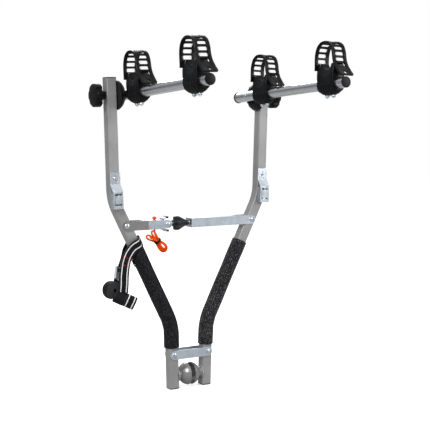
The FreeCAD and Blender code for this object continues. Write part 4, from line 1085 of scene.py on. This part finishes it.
@dataclass
class ReleaseCord:
    """Orange cord from its knot on the bracket to a small hank tied in front of the strut."""

    diameter: float = 4.5
    strand: tuple = ((-95, 0, 11), (-95, 0, -11), (-97.5, -6.5, -22))
    waist: tuple = (-102, -27, -37)
    # distance to the upper left, distance to the upper right, distance forward of the strut
    hank: tuple = (
        (3, 5.2, -22.5), (-8, 5.5, -24.3), (-20, 9.8, -24.3), (-31, 9.0, -24.3),
        (-36.5, 2, -24.3), (-33, -7.5, -24.3), (-22, -10.2, -24.3), (-9, -6.5, -24.3),
        (0, -4.4, -24.3), (8, -7.5, -24.3), (18, -12.5, -24.3), (26, -13.5, -24.3),
        (28.5, -8, -24.6), (23, -3.5, -25.5), (12, -1.8, -26.5), (0, 0, -27.4),
        (-8, 3.0, -28.6), (-18, 6.8, -29.2), (-27, 6.9, -29.2), (-31.5, 1, -29.2),
        (-29, -6, -29.2), (-19, -7.2, -29.2), (-8, -4.5, -29.2), (0, -2.6, -29.4),
        (8, -0.5, -29.4), (18, 0.8, -29.4), (25.5, 2.0, -29.4), (28, 6.8, -29.4),
        (22.5, 10, -29.4), (12, 7.5, -29.4), (0, 3.4, -30.4), (-8, 2.6, -32.4),
        (-16, 4.6, -33.4), (-23, 4.2, -33.4), (-26.4, 0.4, -33.4), (-23.4, -3.6, -33.4),
        (-15, -3.8, -33.4), (-8, -1.6, -33.4), (0, -0.6, -33.6), (8, -3.4, -33.4),
        (16, -6.6, -32.8), (23, -8.6, -32.2),
    )
    knot_radius: float = 5.5
    knot_height: float = 8.0
    # across the waist and forward: middle and half size of the tie
    tie_middle: tuple = (0.0, -28.6)
    tie_half: tuple = (8.0, 8.6)

    def points(self) -> list[Vector]:
        """Return the cord's route, from the top of the bracket to its loose end.

        Returns:
            The route's points, in metres.
        """
        origin = STRUT.translation
        route = [origin + Vector(stop) * MM for stop in self.strand]
        left, right = Vector((-1, 0, 1)).normalized(), Vector((1, 0, 1)).normalized()
        middle = origin + Vector((self.waist[0], 0, self.waist[2])) * MM
        for up_left, up_right, forward in self.hank:
            route.append(middle + (left * up_left + right * up_right) * MM
                         + Vector((0, forward, 0)) * MM)
        return route

    def curve(self, material: bpy.types.Material) -> bpy.types.Object:
        """Build the cord as one open spline.

        Args:
            material: Finish of the cord.

        Returns:
            The cord.
        """
        data = bpy.data.curves.new("release_cord_line", "CURVE")
        data.dimensions = "3D"
        data.bevel_depth = self.diameter / 2 * MM
        data.bevel_resolution = 5
        data.resolution_u = 10
        data.use_fill_caps = True
        route = self.points()
        spline = data.splines.new("NURBS")
        spline.points.add(len(route) - 1)
        for point, place in zip(spline.points, route):
            point.co = (*place, 1.0)
        spline.order_u = 3
        spline.use_endpoint_u = True
        data.materials.append(material)
        piece = bpy.data.objects.new("release_cord_line", data)
        bpy.context.scene.collection.objects.link(piece)
        return piece

    def tie(self) -> bpy.types.Object:
        """Build the black tie round the hank's waist.

        Returns:
            The tie.
        """
        mesh = bmesh.new()
        left, right = Vector((-1, 0, 1)).normalized(), Vector((1, 0, 1)).normalized()
        middle = (STRUT.translation + Vector((self.waist[0], 0, self.waist[2])) * MM
                  + (right * self.tie_middle[0] + Vector((0, self.tie_middle[1], 0))) * MM)
        for along in (-1.35, 1.35):
            frames = []
            for step in range(49):
                angle = math.tau * step / 48
                spot = right * math.cos(angle) * self.tie_half[0] \
                    + Vector((0, math.sin(angle), 0)) * self.tie_half[1]
                run = Vector((0, math.cos(angle), 0)) * self.tie_half[1] \
                    - right * math.sin(angle) * self.tie_half[0]
                frames.append(frame_at(middle + (spot + left * along) * MM, run, spot.normalized()))
            Sweep(mesh, round_outline(1.35, 1.0)).run(frames, capped=False)
        bmesh.ops.remove_doubles(mesh, verts=mesh.verts, dist=1e-6)
        bmesh.ops.recalc_face_normals(mesh, faces=mesh.faces)
        finish = Moulded("black_tie_rubber", roughness=0.45)
        piece = finished(mesh, "hank_tie", [finish.material()])
        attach(piece, "short_strut")
        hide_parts("cord_tie")
        return piece

    def knot(self, material: bpy.types.Material) -> bpy.types.Object:
        """Build the stopper knot: a tight ball of two wraps over a bight.

        Args:
            material: Finish of the knot.

        Returns:
            The knot.
        """
        mesh = bmesh.new()
        bmesh.ops.create_uvsphere(mesh, u_segments=48, v_segments=24, radius=1.0)
        for vert in mesh.verts:
            angle = math.atan2(vert.co.y, vert.co.x)
            girth = math.hypot(vert.co.x, vert.co.y)
            wrap = abs(math.sin(angle * 1.0 + vert.co.z * 3.4)) ** 0.5
            reach = 0.80 + 0.20 * wrap
            vert.co = Vector((vert.co.x * self.knot_radius * (reach * girth + 1 - girth),
                              vert.co.y * self.knot_radius * (reach * girth + 1 - girth),
                              (vert.co.z * reach * 0.5 + 0.5) * self.knot_height)) * MM
        uv = mesh.loops.layers.uv.verify()
        for face in mesh.faces:
            for loop in face.loops:
                spot = loop.vert.co
                loop[uv].uv = (math.atan2(spot.y, spot.x) * 0.05, spot.z / (self.knot_height * MM))
        mesh.transform(STRUT @ shifted(-95, 0, 11))
        return finished(mesh, "release_cord_stopper", [material])

    def build(self) -> list[bpy.types.Object]:
        """Make the cord and its knot on the short strut.

        Returns:
            The cord, its knot and its tie.
        """
        material = Braid("orange_braid").material()
        cord = self.curve(material)
        knot = self.knot(Braid("orange_braid_knot", turns=60.0).material())
        for piece in (cord, knot):
            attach(piece, "short_strut")
        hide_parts("release_cord", "release_cord_hank")
        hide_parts("release_cord_knot")
        depsgraph = bpy.context.evaluated_depsgraph_get()
        line = cord.copy()
        line.data = cord.data.copy()
        line.data.bevel_depth = 0
        bare = bpy.data.meshes.new_from_object(line, depsgraph=depsgraph)
        bpy.data.meshes.remove(bare)
        bpy.data.objects.remove(line)
        return [cord, knot, self.tie()]


@dataclass
class WeldBead:
    """Rippled weld bead between a ball cup's neck and its arm."""

    side: Side
    arm_half: float = 12.5
    ring: float = 15.2
    bead: float = 1.7
    ripples: int = 26

    def build(self) -> bpy.types.Object:
        """Make the bead on its arm.

        Returns:
            The bead.
        """
        lean = math.radians(ARM_LEAN)
        drop = PIVOT_SIDE * math.sin(lean) + PIVOT_UP * math.cos(lean)
        place = ARM_LEFT @ shifted(self.arm_half, 0, -drop)
        mesh = bmesh.new()
        outline = round_outline(self.bead, self.bead)
        steps = self.ripples * 6
        frames = []
        for step in range(steps + 1):
            angle = math.tau * step / steps
            out = Vector((0, math.cos(angle), math.sin(angle)))
            swell = 1 + 0.16 * math.sin(angle * self.ripples)
            along = Vector((0, -out.z, out.y))
            frames.append(frame_at(out * self.ring * MM, along, out) @ Matrix.Scale(swell, 4))
        Sweep(mesh, outline, around=True).run(frames, capped=False)
        bmesh.ops.remove_doubles(mesh, verts=mesh.verts, dist=1e-6)
        bmesh.ops.recalc_face_normals(mesh, faces=mesh.faces)
        mesh.transform(place)
        if self.side is Side.RIGHT:
            mesh.transform(MIRROR)
            bmesh.ops.reverse_faces(mesh, faces=mesh.faces)
        finish = Paint(f"weld_paint_{self.side.value}", (0.33, 0.33, 0.33), roughness=0.36,
                       wear=0.6)
        piece = finished(mesh, f"cup_weld_{self.side.value}", [finish.material()])
        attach(piece, f"arm_{self.side.value}")
        return piece


@dataclass
class Cradle:
    """Saddle block on a support tube, with its ladder strap of black rubber.

    Its own frame has X across the tube, Y towards the rear and Z up, on the tube's axis.
    """

    side: Side
    end: str
    forward: float
    length: float = 60.0
    post: float = 46.0
    post_half: float = 15.0
    barrel_half: float = 17.0
    belly: float = 25.5
    taper: float = 7.5
    saddle_half: float = 20.0
    saddle_depth: float = 16.0
    bore: float = 12.6
    ribs: tuple = (-21.0, -10.5, 0.0, 10.5, 21.0)
    # distance from a rib's middle, depth below its crest
    rib_profile: tuple = ((3.0, 2.2), (1.9, 0.4), (1.4, 0.0))
    post_corner: float = 0.28
    barrel_corner: float = 0.8
    hook: tuple = (17.0, 8.0, 6.0)
    strap_width: float = 38.0
    strap_thick: float = 3.4
    slot_width: float = 22.0
    slot_height: float = 8.0
    hook_height: float = 40.0
    slots: int = 12
    corners: int = 72
    nut_reach: float = 11.0
    # washer, nut and bolt end: corners, radius, height, distance below the barrel
    nut_parts: tuple = ((32, 5.6, 1.2, 0.0), (6, 4.9, 3.6, 1.2), (20, 2.5, 2.2, 4.8))
    hole_half: float = 4.2
    hole_inset: float = 9.0
    # forward of the cradle's middle, above the tube's axis
    arch: tuple = ((-33.0, 31.5), (-32.3, 36), (-32.0, 42), (-31.6, 56), (-29.8, 69), (-23.2, 83),
                   (-11.5, 91.2), (0, 93.2), (11.5, 91.4), (23.6, 84), (30.2, 70), (32.4, 56),
                   (34.8, 47), (40.5, 36), (49.5, 25), (60.0, 14.5))

    @property
    def place(self) -> Matrix:
        """Return the cradle's frame."""
        made = TUBE_LEFT @ shifted(0, -self.forward, 0)
        return made if self.side is Side.LEFT else MIRROR @ made

    def top(self, forward: float) -> float:
        """Return the block's height at a place along it, lower in the saddle.

        Args:
            forward: Place along the block.

        Returns:
            The height above the tube's axis.
        """
        radius = (self.saddle_half ** 2 + self.saddle_depth ** 2) / (2 * self.saddle_depth)
        if abs(forward) >= self.saddle_half:
            return self.post
        centre = self.post + radius - self.saddle_depth
        return centre - math.sqrt(radius ** 2 - forward ** 2)

    def section(self, angle: float, forward: float, inset: float) -> Vector:
        """Return one point of the block's outline across the tube.

        Args:
            angle: Direction round the tube, in radians.
            forward: Place along the tube.
            inset: How far the outline is drawn in, for round edges and grooves.

        Returns:
            The point, in the cradle's frame.
        """
        side, lift = math.cos(angle), math.sin(angle)
        if lift >= 0:
            swell = (self.barrel_half - self.post_half) * max(0.0, 1 - 3.2 * lift)
            across = math.copysign(abs(side) ** self.post_corner, side)
            across *= self.post_half + swell - inset
            up = abs(lift) ** self.post_corner * (self.top(forward) - inset)
        else:
            near_end = max(0.0, abs(forward) - self.length / 6) / (self.length / 3)
            across = math.copysign(abs(side) ** self.barrel_corner, side)
            across *= self.barrel_half - inset
            up = -abs(lift) ** self.barrel_corner
            up *= self.belly - inset - self.taper * near_end ** 1.6
        return Vector((across, -forward, up)) * MM

    def stations(self) -> list[tuple[float, float, float]]:
        """Return places along the block with their insets above and below.

        Returns:
            Triples of place along the block, inset above and inset below.
        """
        half = self.length / 2
        marks = [(-half, 1.6, 1.6), (-half + 0.5, 0.6, 0.6), (-half + 1.6, 0, 0)]
        for rib in self.ribs:
            marks += [(rib + way * reach, 0, inset) for way in (-1, 1)
                      for reach, inset in self.rib_profile]
        for step in range(-7, 8):
            marks.append((self.saddle_half * math.sin(step * math.pi / 14), 0, None))
        marks += [(half - 1.6, 0, 0), (half - 0.5, 0.6, 0.6), (half, 1.6, 1.6)]
        marks.sort(key=lambda mark: mark[0])
        known = [(mark[0], mark[2]) for mark in marks if mark[2] is not None]
        result = []
        for forward, above, below in marks:
            if below is None:
                left = max(spot for spot in known if spot[0] <= forward)
                right = min(spot for spot in known if spot[0] >= forward)
                share = (forward - left[0]) / max(right[0] - left[0], 1e-6)
                below = left[1] + (right[1] - left[1]) * share
            result.append((forward, above, below))
        return result

    def block(self) -> bmesh.types.BMesh:
        """Build the saddle block round its bore.

        Returns:
            The block's bmesh, in the cradle's frame.
        """
        mesh = bmesh.new()
        turn = mesh.verts.layers.float.new("turn")
        bmesh.ops.create_circle(mesh, segments=self.corners, radius=1.0)
        for vert in mesh.verts:
            vert[turn] = math.atan2(vert.co.y, vert.co.x)
        edges = list(mesh.edges)
        rings = [(forward, (above, below)) for forward, above, below in self.stations()]
        rings += [(rings[-1][0], None), (rings[0][0], None), rings[0]]
        ring = list(mesh.verts)
        for index, (forward, insets) in enumerate(rings):
            if index:
                made = bmesh.ops.extrude_edge_only(mesh, edges=edges)["geom"]
                ring = [item for item in made if isinstance(item, bmesh.types.BMVert)]
                edges = [item for item in made if isinstance(item, bmesh.types.BMEdge)
                         and all(vert in ring for vert in item.verts)]
            for vert in ring:
                side, lift = math.cos(vert[turn]), math.sin(vert[turn])
                if insets is None:
                    vert.co = Vector((self.bore * side, -forward, self.bore * lift)) * MM
                else:
                    inset = insets[0] if lift >= 0 else insets[1]
                    vert.co = self.section(vert[turn], forward, inset)
        bmesh.ops.remove_doubles(mesh, verts=mesh.verts, dist=1e-6)
        bmesh.ops.recalc_face_normals(mesh, faces=mesh.faces)
        self.add_hooks(mesh)
        return mesh

    def add_hooks(self, mesh: bmesh.types.BMesh) -> None:
        """Add the two hooks that hold the strap.

        Args:
            mesh: Block's bmesh, in metres.
        """
        wide, reach, high = self.hook
        for way in (-1, 1):
            made = bmesh.ops.create_cube(mesh, size=1.0)["verts"]
            length = reach + 3.0
            for vert in made:
                outer = vert.co.y * way > 0
                lift = 1.5 if outer else 0.0
                vert.co = Vector((vert.co.x * wide,
                                  way * (self.length / 2 + reach / 2 - 1.5) + vert.co.y * length,
                                  self.hook_height - 3 + vert.co.z * high + lift)) * MM
            edges = list({edge for vert in made for edge in vert.link_edges})
            bmesh.ops.bevel(mesh, geom=edges, affect="EDGES", offset=1.0 * MM, segments=3,
                            profile=0.5, material=-1)

    def nuts(self) -> bmesh.types.BMesh:
        """Build the two zinc nuts and bolt ends under the barrel.

        Returns:
            The nuts' bmesh, in the cradle's frame.
        """
        mesh = bmesh.new()
        for forward in (-self.nut_reach, self.nut_reach):
            low = -(self.belly - 1.0)
            for corners, radius, height, drop in self.nut_parts:
                made = bmesh.ops.create_cone(mesh, cap_ends=True, segments=corners,
                                             radius1=radius, radius2=radius, depth=height)["verts"]
                edges = list({edge for vert in made for edge in vert.link_edges})
                whole = bmesh.ops.bevel(mesh, geom=edges, affect="EDGES", offset=0.35, segments=2,
                                        profile=0.5, material=-1)["verts"]
                shell = {vert for vert in whole} | {vert for vert in made if vert.is_valid}
                for vert in shell:
                    vert.co = Vector((vert.co.x, vert.co.y - forward,
                                      vert.co.z + low - drop - height / 2)) * MM
        return mesh

    def line(self) -> list[tuple[float, Vector, Vector]]:
        """Return the strap's middle line: distance from its rear foot, place and outward way.

        Returns:
            Triples of distance, place and outward direction.
        """
        spots = smoothed([Vector((forward, 0, up)) for forward, up in self.arch], 12)
        marks, run = [], 0.0
        for index, spot in enumerate(spots):
            before, after = spots[max(index - 1, 0)], spots[min(index + 1, len(spots) - 1)]
            run += (spot - before).length
            along = (after - before).normalized()
            marks.append((run, spot, Vector((-along.z, 0, along.x))))
        return marks

    def strap(self) -> bmesh.types.BMesh:
        """Build the ladder strap flat, with its slots, rails and pull hole, and bend it.

        Returns:
            The strap's bmesh, in the cradle's frame.
        """
        marks = self.line()
        peak = max(range(len(marks)), key=lambda index: marks[index][1].z)
        rear = min(marks[:peak], key=lambda mark: abs(mark[1].z - self.hook_height))[0]
        front = min(marks[peak:], key=lambda mark: abs(mark[1].z - self.hook_height))[0]
        pitch = (front - rear) / (self.slots - 1)
        rows, openings = [0.0, 2.0], []
        for index in range(self.slots):
            middle = rear + pitch * index
            rows += [middle - self.slot_height / 2, middle, middle + self.slot_height / 2]
            openings.append((middle - self.slot_height / 2, middle + self.slot_height / 2))
        end = marks[-1][0]
        hole = end - self.hole_inset
        rows += [hole - self.hole_half, hole + self.hole_half, end]
        half, slot = self.strap_width / 2, self.slot_width / 2
        columns = [-half, -slot, -self.hole_half, self.hole_half, slot, half]
        mesh = bmesh.new()
        bmesh.ops.create_grid(mesh, x_segments=len(columns) - 1, y_segments=len(rows) - 1, size=0.5)
        for vert in mesh.verts:
            column = round((vert.co.x + 0.5) * (len(columns) - 1))
            row = round((vert.co.y + 0.5) * (len(rows) - 1))
            vert.co = Vector((columns[column], rows[row], 0))
        self.pierce(mesh, openings, (hole - self.hole_half, hole + self.hole_half), slot, end)
        self.thicken(mesh, slot)
        for vert in mesh.verts:
            run = min(max(vert.co.y, 0.0), end)
            index = next(i for i, mark in enumerate(marks) if mark[0] >= run - 1e-4)
            before, after = marks[max(index - 1, 0)], marks[index]
            share = (run - before[0]) / max(after[0] - before[0], 1e-6) if index else 0.0
            spot = before[1].lerp(after[1], share)
            out = before[2].lerp(after[2], share).normalized()
            bent = spot + out * vert.co.z
            vert.co = Vector((vert.co.x, -bent.x, bent.z)) * MM
        return mesh

    def pierce(self, mesh: bmesh.types.BMesh, openings: Sequence[tuple[float, float]],
               hole: tuple[float, float], slot: float, end: float) -> None:
        """Cut the slots and the pull hole and round their corners.

        Args:
            mesh: Flat strap.
            openings: Start and end of each slot along it.
            hole: Start and end of the pull hole along it.
            slot: Half the slots' width.
            end: Length of the strap.
        """
        gone = []
        for face in mesh.faces:
            middle = face.calc_center_median()
            in_slot = any(low < middle.y < high for low, high in openings) and abs(middle.x) < slot
            in_hole = hole[0] < middle.y < hole[1] and abs(middle.x) < self.hole_half
            if in_slot or in_hole:
                gone.append(face)
        bmesh.ops.delete(mesh, geom=gone, context="FACES")
        ends = [row for pair in openings for row in pair]
        corners = [vert for vert in mesh.verts if abs(abs(vert.co.x) - slot) < 0.01
                   and any(abs(vert.co.y - row) < 0.01 for row in ends)]
        bmesh.ops.bevel(mesh, geom=corners, affect="VERTICES", offset=2.3, segments=4,
                        profile=0.5, material=-1)
        round_hole = [vert for vert in mesh.verts if abs(abs(vert.co.x) - self.hole_half) < 0.01
                      and any(abs(vert.co.y - row) < 0.01 for row in hole)]
        bmesh.ops.bevel(mesh, geom=round_hole, affect="VERTICES", offset=2.4, segments=4,
                        profile=0.5, material=-1)
        tips = [vert for vert in mesh.verts if abs(vert.co.x) > self.strap_width / 2 - 0.01
                and abs(vert.co.y - end) < 0.01]
        bmesh.ops.bevel(mesh, geom=tips, affect="VERTICES", offset=4.0, segments=5,
                        profile=0.5, material=-1)

    def thicken(self, mesh: bmesh.types.BMesh, slot: float) -> None:
        """Give the flat strap its thickness, raised rails and soft edges.

        Args:
            mesh: Flat strap.
            slot: Half the slots' width.
        """
        bmesh.ops.recalc_face_normals(mesh, faces=mesh.faces)
        if next(iter(mesh.faces)).normal.z < 0:
            bmesh.ops.reverse_faces(mesh, faces=mesh.faces)
        bmesh.ops.solidify(mesh, geom=list(mesh.faces), thickness=self.strap_thick)
        lows = [vert.co.z for vert in mesh.verts]
        middle = (min(lows) + max(lows)) / 2
        for vert in mesh.verts:
            vert.co.z -= middle
        rails = [face for face in mesh.faces if face.normal.z > 0.9
                 and abs(face.calc_center_median().x) > slot]
        for side in (-1, 1):
            rail = [face for face in rails if face.calc_center_median().x * side > 0]
            bmesh.ops.inset_region(mesh, faces=rail, thickness=0.9, depth=0.7)
        mesh.normal_update()
        sharp = [edge for edge in mesh.edges if edge.is_manifold
                 and edge.calc_face_angle(0.0) > math.radians(60)]
        bmesh.ops.bevel(mesh, geom=sharp, affect="EDGES", offset=0.35, segments=2, profile=0.5,
                        material=-1)

    def placed(self, mesh: bmesh.types.BMesh, name: str, material: bpy.types.Material,
               node: str | None) -> bpy.types.Object:
        """Move a mesh to its place and hand it to its cradle's body.

        Args:
            mesh: Bmesh in the cradle's frame.
            name: Name of the piece.
            material: Its finish.
            node: CAD node that it stands for, if any.

        Returns:
            The piece.
        """
        mesh.transform(self.place)
        if self.side is Side.RIGHT:
            bmesh.ops.reverse_faces(mesh, faces=mesh.faces)
        piece = finished(mesh, name, [material], crease=38)
        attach(piece, f"saddle_{self.side.value}_{self.end}")
        if node:
            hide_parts(node)
        return piece

    def build(self) -> list[bpy.types.Object]:
        """Make the block, its strap and the nuts below it.

        Returns:
            The block, the strap and the nuts.
        """
        tag = f"{self.side.value}_{self.end}"
        known = bpy.data.materials.get
        block = known("black_cradle") or Moulded("black_cradle").material()
        rubber = known("black_strap") or Moulded("black_strap", colour=(0.0024, 0.0024, 0.0027),
                                                 roughness=0.36, pebble=2200.0).material()
        zinc = known("zinc_nut") or Plating("zinc_nut", streaks=(150.0, 150.0, 150.0)).material()
        return [self.placed(self.block(), f"cradle_block_{tag}", block, f"cradle_{tag}"),
                self.placed(self.strap(), f"ladder_strap_{tag}", rubber, f"cradle_strap_{tag}"),
                self.placed(self.nuts(), f"cradle_nuts_{tag}", zinc, None)]


@dataclass
class StarKnob:
    """Adjuster knob: a tapering hub with four sloping fins."""

    start: float = -46.0
    face: float = -42.0
    tip: float = -2.4
    fin_reach: float = 17.0
    fin_flat: float = 12.0
    fin_thick: float = 10.0
    fin_tip: float = -9.0
    fin_narrowing: float = 0.45
    bore: float = 4.06

    def hub(self, mesh: bmesh.types.BMesh) -> None:
        """Spin the hub's outline round the bolt.

        Args:
            mesh: Knob's bmesh, on the bolt's axis.
        """
        outline = ((self.start, self.bore), (self.start, 7.4), (self.face, 8.6), (-28.0, 8.4),
                   (-8.0, 6.6), (self.tip - 0.8, 6.2), (self.tip, 5.6), (self.tip, self.bore))
        verts = [mesh.verts.new(Vector((x, 0, r)) * MM) for x, r in outline]
        edges = [mesh.edges.new(pair) for pair in zip(verts, verts[1:])]
        edges.append(mesh.edges.new((verts[-1], verts[0])))
        bmesh.ops.spin(mesh, geom=verts + edges, cent=(0, 0, 0), axis=(1, 0, 0), angle=math.tau,
                       steps=48, use_merge=True)

    def fin(self, mesh: bmesh.types.BMesh, turn: float) -> None:
        """Add one fin that slopes down to the hub's tip.

        Args:
            mesh: Knob's bmesh, on the bolt's axis.
            turn: Direction of the fin round the bolt, in degrees.
        """
        outline = ((self.face, 6.0), (self.face, self.fin_reach - 2.5),
                   (self.face + 2.5, self.fin_reach), (self.face + self.fin_flat, self.fin_reach),
                   (self.fin_tip, 7.0), (self.fin_tip, 5.6))
        verts = [mesh.verts.new(Vector((x, -self.fin_thick / 2, r)) * MM) for x, r in outline]
        face = mesh.faces.new(verts)
        made = bmesh.ops.extrude_face_region(mesh, geom=[face])["geom"]
        moved = [item for item in made if isinstance(item, bmesh.types.BMVert)]
        bmesh.ops.translate(mesh, verts=moved, vec=(0, self.fin_thick * MM, 0))
        for vert in [*verts, *moved]:
            if vert.co.x > (self.fin_tip - 3.0) * MM:
                vert.co.y *= self.fin_narrowing
        edges = list({edge for vert in [*verts, *moved] for edge in vert.link_edges})
        made = bmesh.ops.bevel(mesh, geom=edges, affect="EDGES", offset=1.9 * MM, segments=4,
                               profile=0.5, material=-1)
        faces = {face for vert in made["verts"] for face in vert.link_faces}
        whole = {vert for face in faces for vert in face.verts}
        bmesh.ops.rotate(mesh, verts=list(whole), cent=(0, 0, 0),
                         matrix=Matrix.Rotation(math.radians(turn), 3, "X"))

    def build(self) -> bpy.types.Object:
        """Make the knob on the adjuster.

        Returns:
            The knob.
        """
        mesh = bmesh.new()
        self.hub(mesh)
        for turn in (0, 90, 180, 270):
            self.fin(mesh, turn)
        bmesh.ops.recalc_face_normals(mesh, faces=mesh.faces)
        mesh.transform(STRUT)
        finish = Moulded("black_star_knob", gloss=0.5)
        piece = finished(mesh, "star_knob", [finish.material()], crease=40)
        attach(piece, "adjuster")
        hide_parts("adjuster_knob")
        return piece


@dataclass
class Hardware:
    """The carried-over CAD pieces and the finish that each one gets."""

    arm_grey: Colour = (0.300, 0.296, 0.292)
    bar_grey: Colour = (0.235, 0.225, 0.212)

    def finishes(self) -> dict[str, tuple[Callable[[], bpy.types.Material], tuple[str, ...]]]:
        """Return each finish with the starts of the names of the nodes that wear it.

        Returns:
            For each finish, what makes it and the names' starts.
        """
        along_tube = (240.0, 6.0, 240.0)
        upright = (420.0, 300.0, 40.0)
        return {
            "arm paint": (Paint("arm_paint", self.arm_grey).material, ("arm_tube",)),
            "bar paint": (Paint("bar_paint", self.bar_grey, roughness=0.36, metallic=0.5).material,
                          ("strut_bar_left",)),
            "cup paint": (Paint("cup_paint", (0.27, 0.265, 0.262), roughness=0.28, metallic=0.6,
                                wear=0.35).material, ("ball_cup",)),
            "tube": (Plating("satin_tube", pale=(0.60, 0.60, 0.61), cast=(0.53, 0.53, 0.54),
                             streaks=along_tube, roughness=0.22).material, ("support_tube",)),
            "zinc": (Plating("zinc_plate").material,
                     ("link_plate", "strut_bar_right", "toggle_bracket")),
            "bolts": (Plating("zinc_bolts", streaks=(120.0, 120.0, 120.0), roughness=0.24).material,
                      ("pivot_rivet", "strut_rivet", "toggle_pin", "eyebolt", "swivel_bolt",
                       "buckle_rivet", "cam_pin")),
            "latch": (Plating("dark_latch", pale=(0.62, 0.66, 0.70), cast=(0.10, 0.11, 0.13),
                              streaks=(160.0, 160.0, 160.0), roughness=0.20).material,
                      ("toggle_latch",)),
            "buckles": (Plating("zinc_buckle", pale=(0.84, 0.88, 0.91), cast=(0.60, 0.67, 0.72),
                                streaks=upright, roughness=0.27).material,
                        ("buckle_frame", "cam_lever")),
            "plugs": (Moulded("black_plug", roughness=0.42).material,
                      ("top_plug", "foot_plug", "front_cap", "rear_cap")),
            "knobs": (Moulded("black_knob", roughness=0.36).material,
                      ("clamp_knob", "swivel_disc", "latch_caps")),
        }

    def dress(self) -> None:
        """Give every shown CAD node its finish."""
        for label, (make, starts) in self.finishes().items():
            worn = [node for name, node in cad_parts.items() if name.startswith(starts)]
            material = make()
            for node in worn:
                node.data.materials.clear()
                node.data.materials.append(material)
            log.info("%s: %d nodes", label, len(worn))


# --------------------------------------------------------------------------- studio

@dataclass
class Studio:
    """Camera, plain pale floor and soft light."""

    place: tuple[float, float, float] = (-1312.0, -2300.4, 641.6)
    azimuth: float = -31.09
    pitch: float = -5.35
    roll: float = 0.16
    lens: float = 90.96
    floor_half: float = 6.0
    # name, place in metres, size in metres, power in watts
    lights: tuple = (("key", (-1.9, -1.7, 2.0), 1.2, 62.0), ("fill", (1.9, -2.2, 1.2), 1.2, 26.0),
                     ("back", (0.8, 2.2, 1.8), 1.4, 34.0))

    def camera(self) -> None:
        """Place the camera as in the photograph."""
        azimuth, pitch, roll = map(math.radians, (self.azimuth, self.pitch, self.roll))
        ahead = Vector((-math.sin(azimuth) * math.cos(pitch), math.cos(azimuth) * math.cos(pitch),
                        math.sin(pitch)))
        right = Vector((math.cos(azimuth), math.sin(azimuth), 0))
        up = right.cross(ahead)
        side = right * math.cos(roll) + up * math.sin(roll)
        top = up * math.cos(roll) - right * math.sin(roll)
        data = bpy.data.cameras.new("photo_camera")
        data.lens, data.sensor_width, data.clip_start = self.lens, 36.0, 0.05
        camera = bpy.data.objects.new("photo_camera", data)
        turn = Matrix((side, top, -ahead)).transposed().to_4x4()
        camera.matrix_world = Matrix.Translation(Vector(self.place) * MM) @ turn
        bpy.context.scene.collection.objects.link(camera)
        bpy.context.scene.camera = camera

    def floor(self) -> None:
        """Lay the pale floor under the lowest point."""
        mesh = bmesh.new()
        bmesh.ops.create_grid(mesh, x_segments=1, y_segments=1, size=self.floor_half)
        bmesh.ops.translate(mesh, verts=mesh.verts, vec=(0, 0, CAD_BOX[0][2] - 0.0006))
        build, surface = shaded("floor", {"Roughness": 0.9, "Emission Color": (1, 1, 1, 1)})
        tone = build.noise(build.node("TexCoord").outputs["Object"], 2.0, 2.0)
        seen = build.node("LightPath").outputs["Is Camera Ray"]
        pale = build.mix(tone, opaque((0.93, 0.93, 0.93)), opaque((0.96, 0.96, 0.96)))
        plug_in(build, surface, {
            "Base Color": build.mix(seen, opaque((0.40, 0.40, 0.41)), pale),
            "Emission Strength": build.math("MULTIPLY", seen, 0.35)})
        finished(mesh, "floor", [bpy.data.materials["floor"]], smooth=False)

    def light(self, name: str, place: Sequence[float], size: float, power: float) -> None:
        """Add one large soft light that faces the carrier.

        Args:
            name: Name of the light.
            place: Place in metres.
            size: Diameter in metres.
            power: Power in watts.
        """
        data = bpy.data.lights.new(name, "AREA")
        data.shape, data.size, data.energy = "DISK", size, power
        lamp = bpy.data.objects.new(name, data)
        spot = Vector(place)
        aim = (Vector((0, 0, 0.35)) - spot).to_track_quat("-Z", "Y")
        lamp.matrix_world = Matrix.Translation(spot) @ aim.to_matrix().to_4x4()
        bpy.context.scene.collection.objects.link(lamp)

    def sky(self) -> None:
        """Fill the surroundings: white to the camera, darker low down in reflections."""
        world = bpy.data.worlds.new("studio")
        bpy.context.scene.world = world
        world.use_nodes = True
        world.node_tree.nodes.clear()
        build = Tree(world.node_tree)
        up = build.node("SeparateXYZ", {0: build.node("TexCoord").outputs["Generated"]}).outputs[2]
        glow = build.mix(build.ramp(up, 0.0, 0.7), opaque((0.22, 0.23, 0.25)),
                         opaque((0.85, 0.86, 0.88)))
        seen = build.node("LightPath").outputs["Is Camera Ray"]
        colour = build.mix(seen, glow, opaque((1.0, 1.0, 1.0)))
        sky = build.node("Background", {"Color": colour, "Strength": 1.0})
        build.node("OutputWorld", {"Surface": sky.outputs[0]})

    def build(self) -> None:
        """Set up the whole studio."""
        self.camera()
        self.floor()
        self.sky()
        for name, place, size, power in self.lights:
            self.light(name, place, size, power)
        bpy.context.scene.view_settings.view_transform = "Standard"


def main() -> None:
    """Build the carrier's looks."""
    Studio().build()
    pieces = [*ReleaseCord().build(), *TieStrap().build()]
    for side, skin in ((Side.LEFT, FoamSkin.SMOOTH), (Side.RIGHT, FoamSkin.NETTED)):
        pieces += [FoamSleeve(side, skin).build(), WeldBead(side).build()]
        pieces += [*Cradle(side, "front", 337.0).build(), *Cradle(side, "rear", 72.0).build()]
    pieces.append(StarKnob().build())
    Hardware().dress()
    for piece in pieces:
        log.info("piece %s", piece.name)


if __name__ == "__main__":
    logging.basicConfig(level=logging.INFO)
    main()
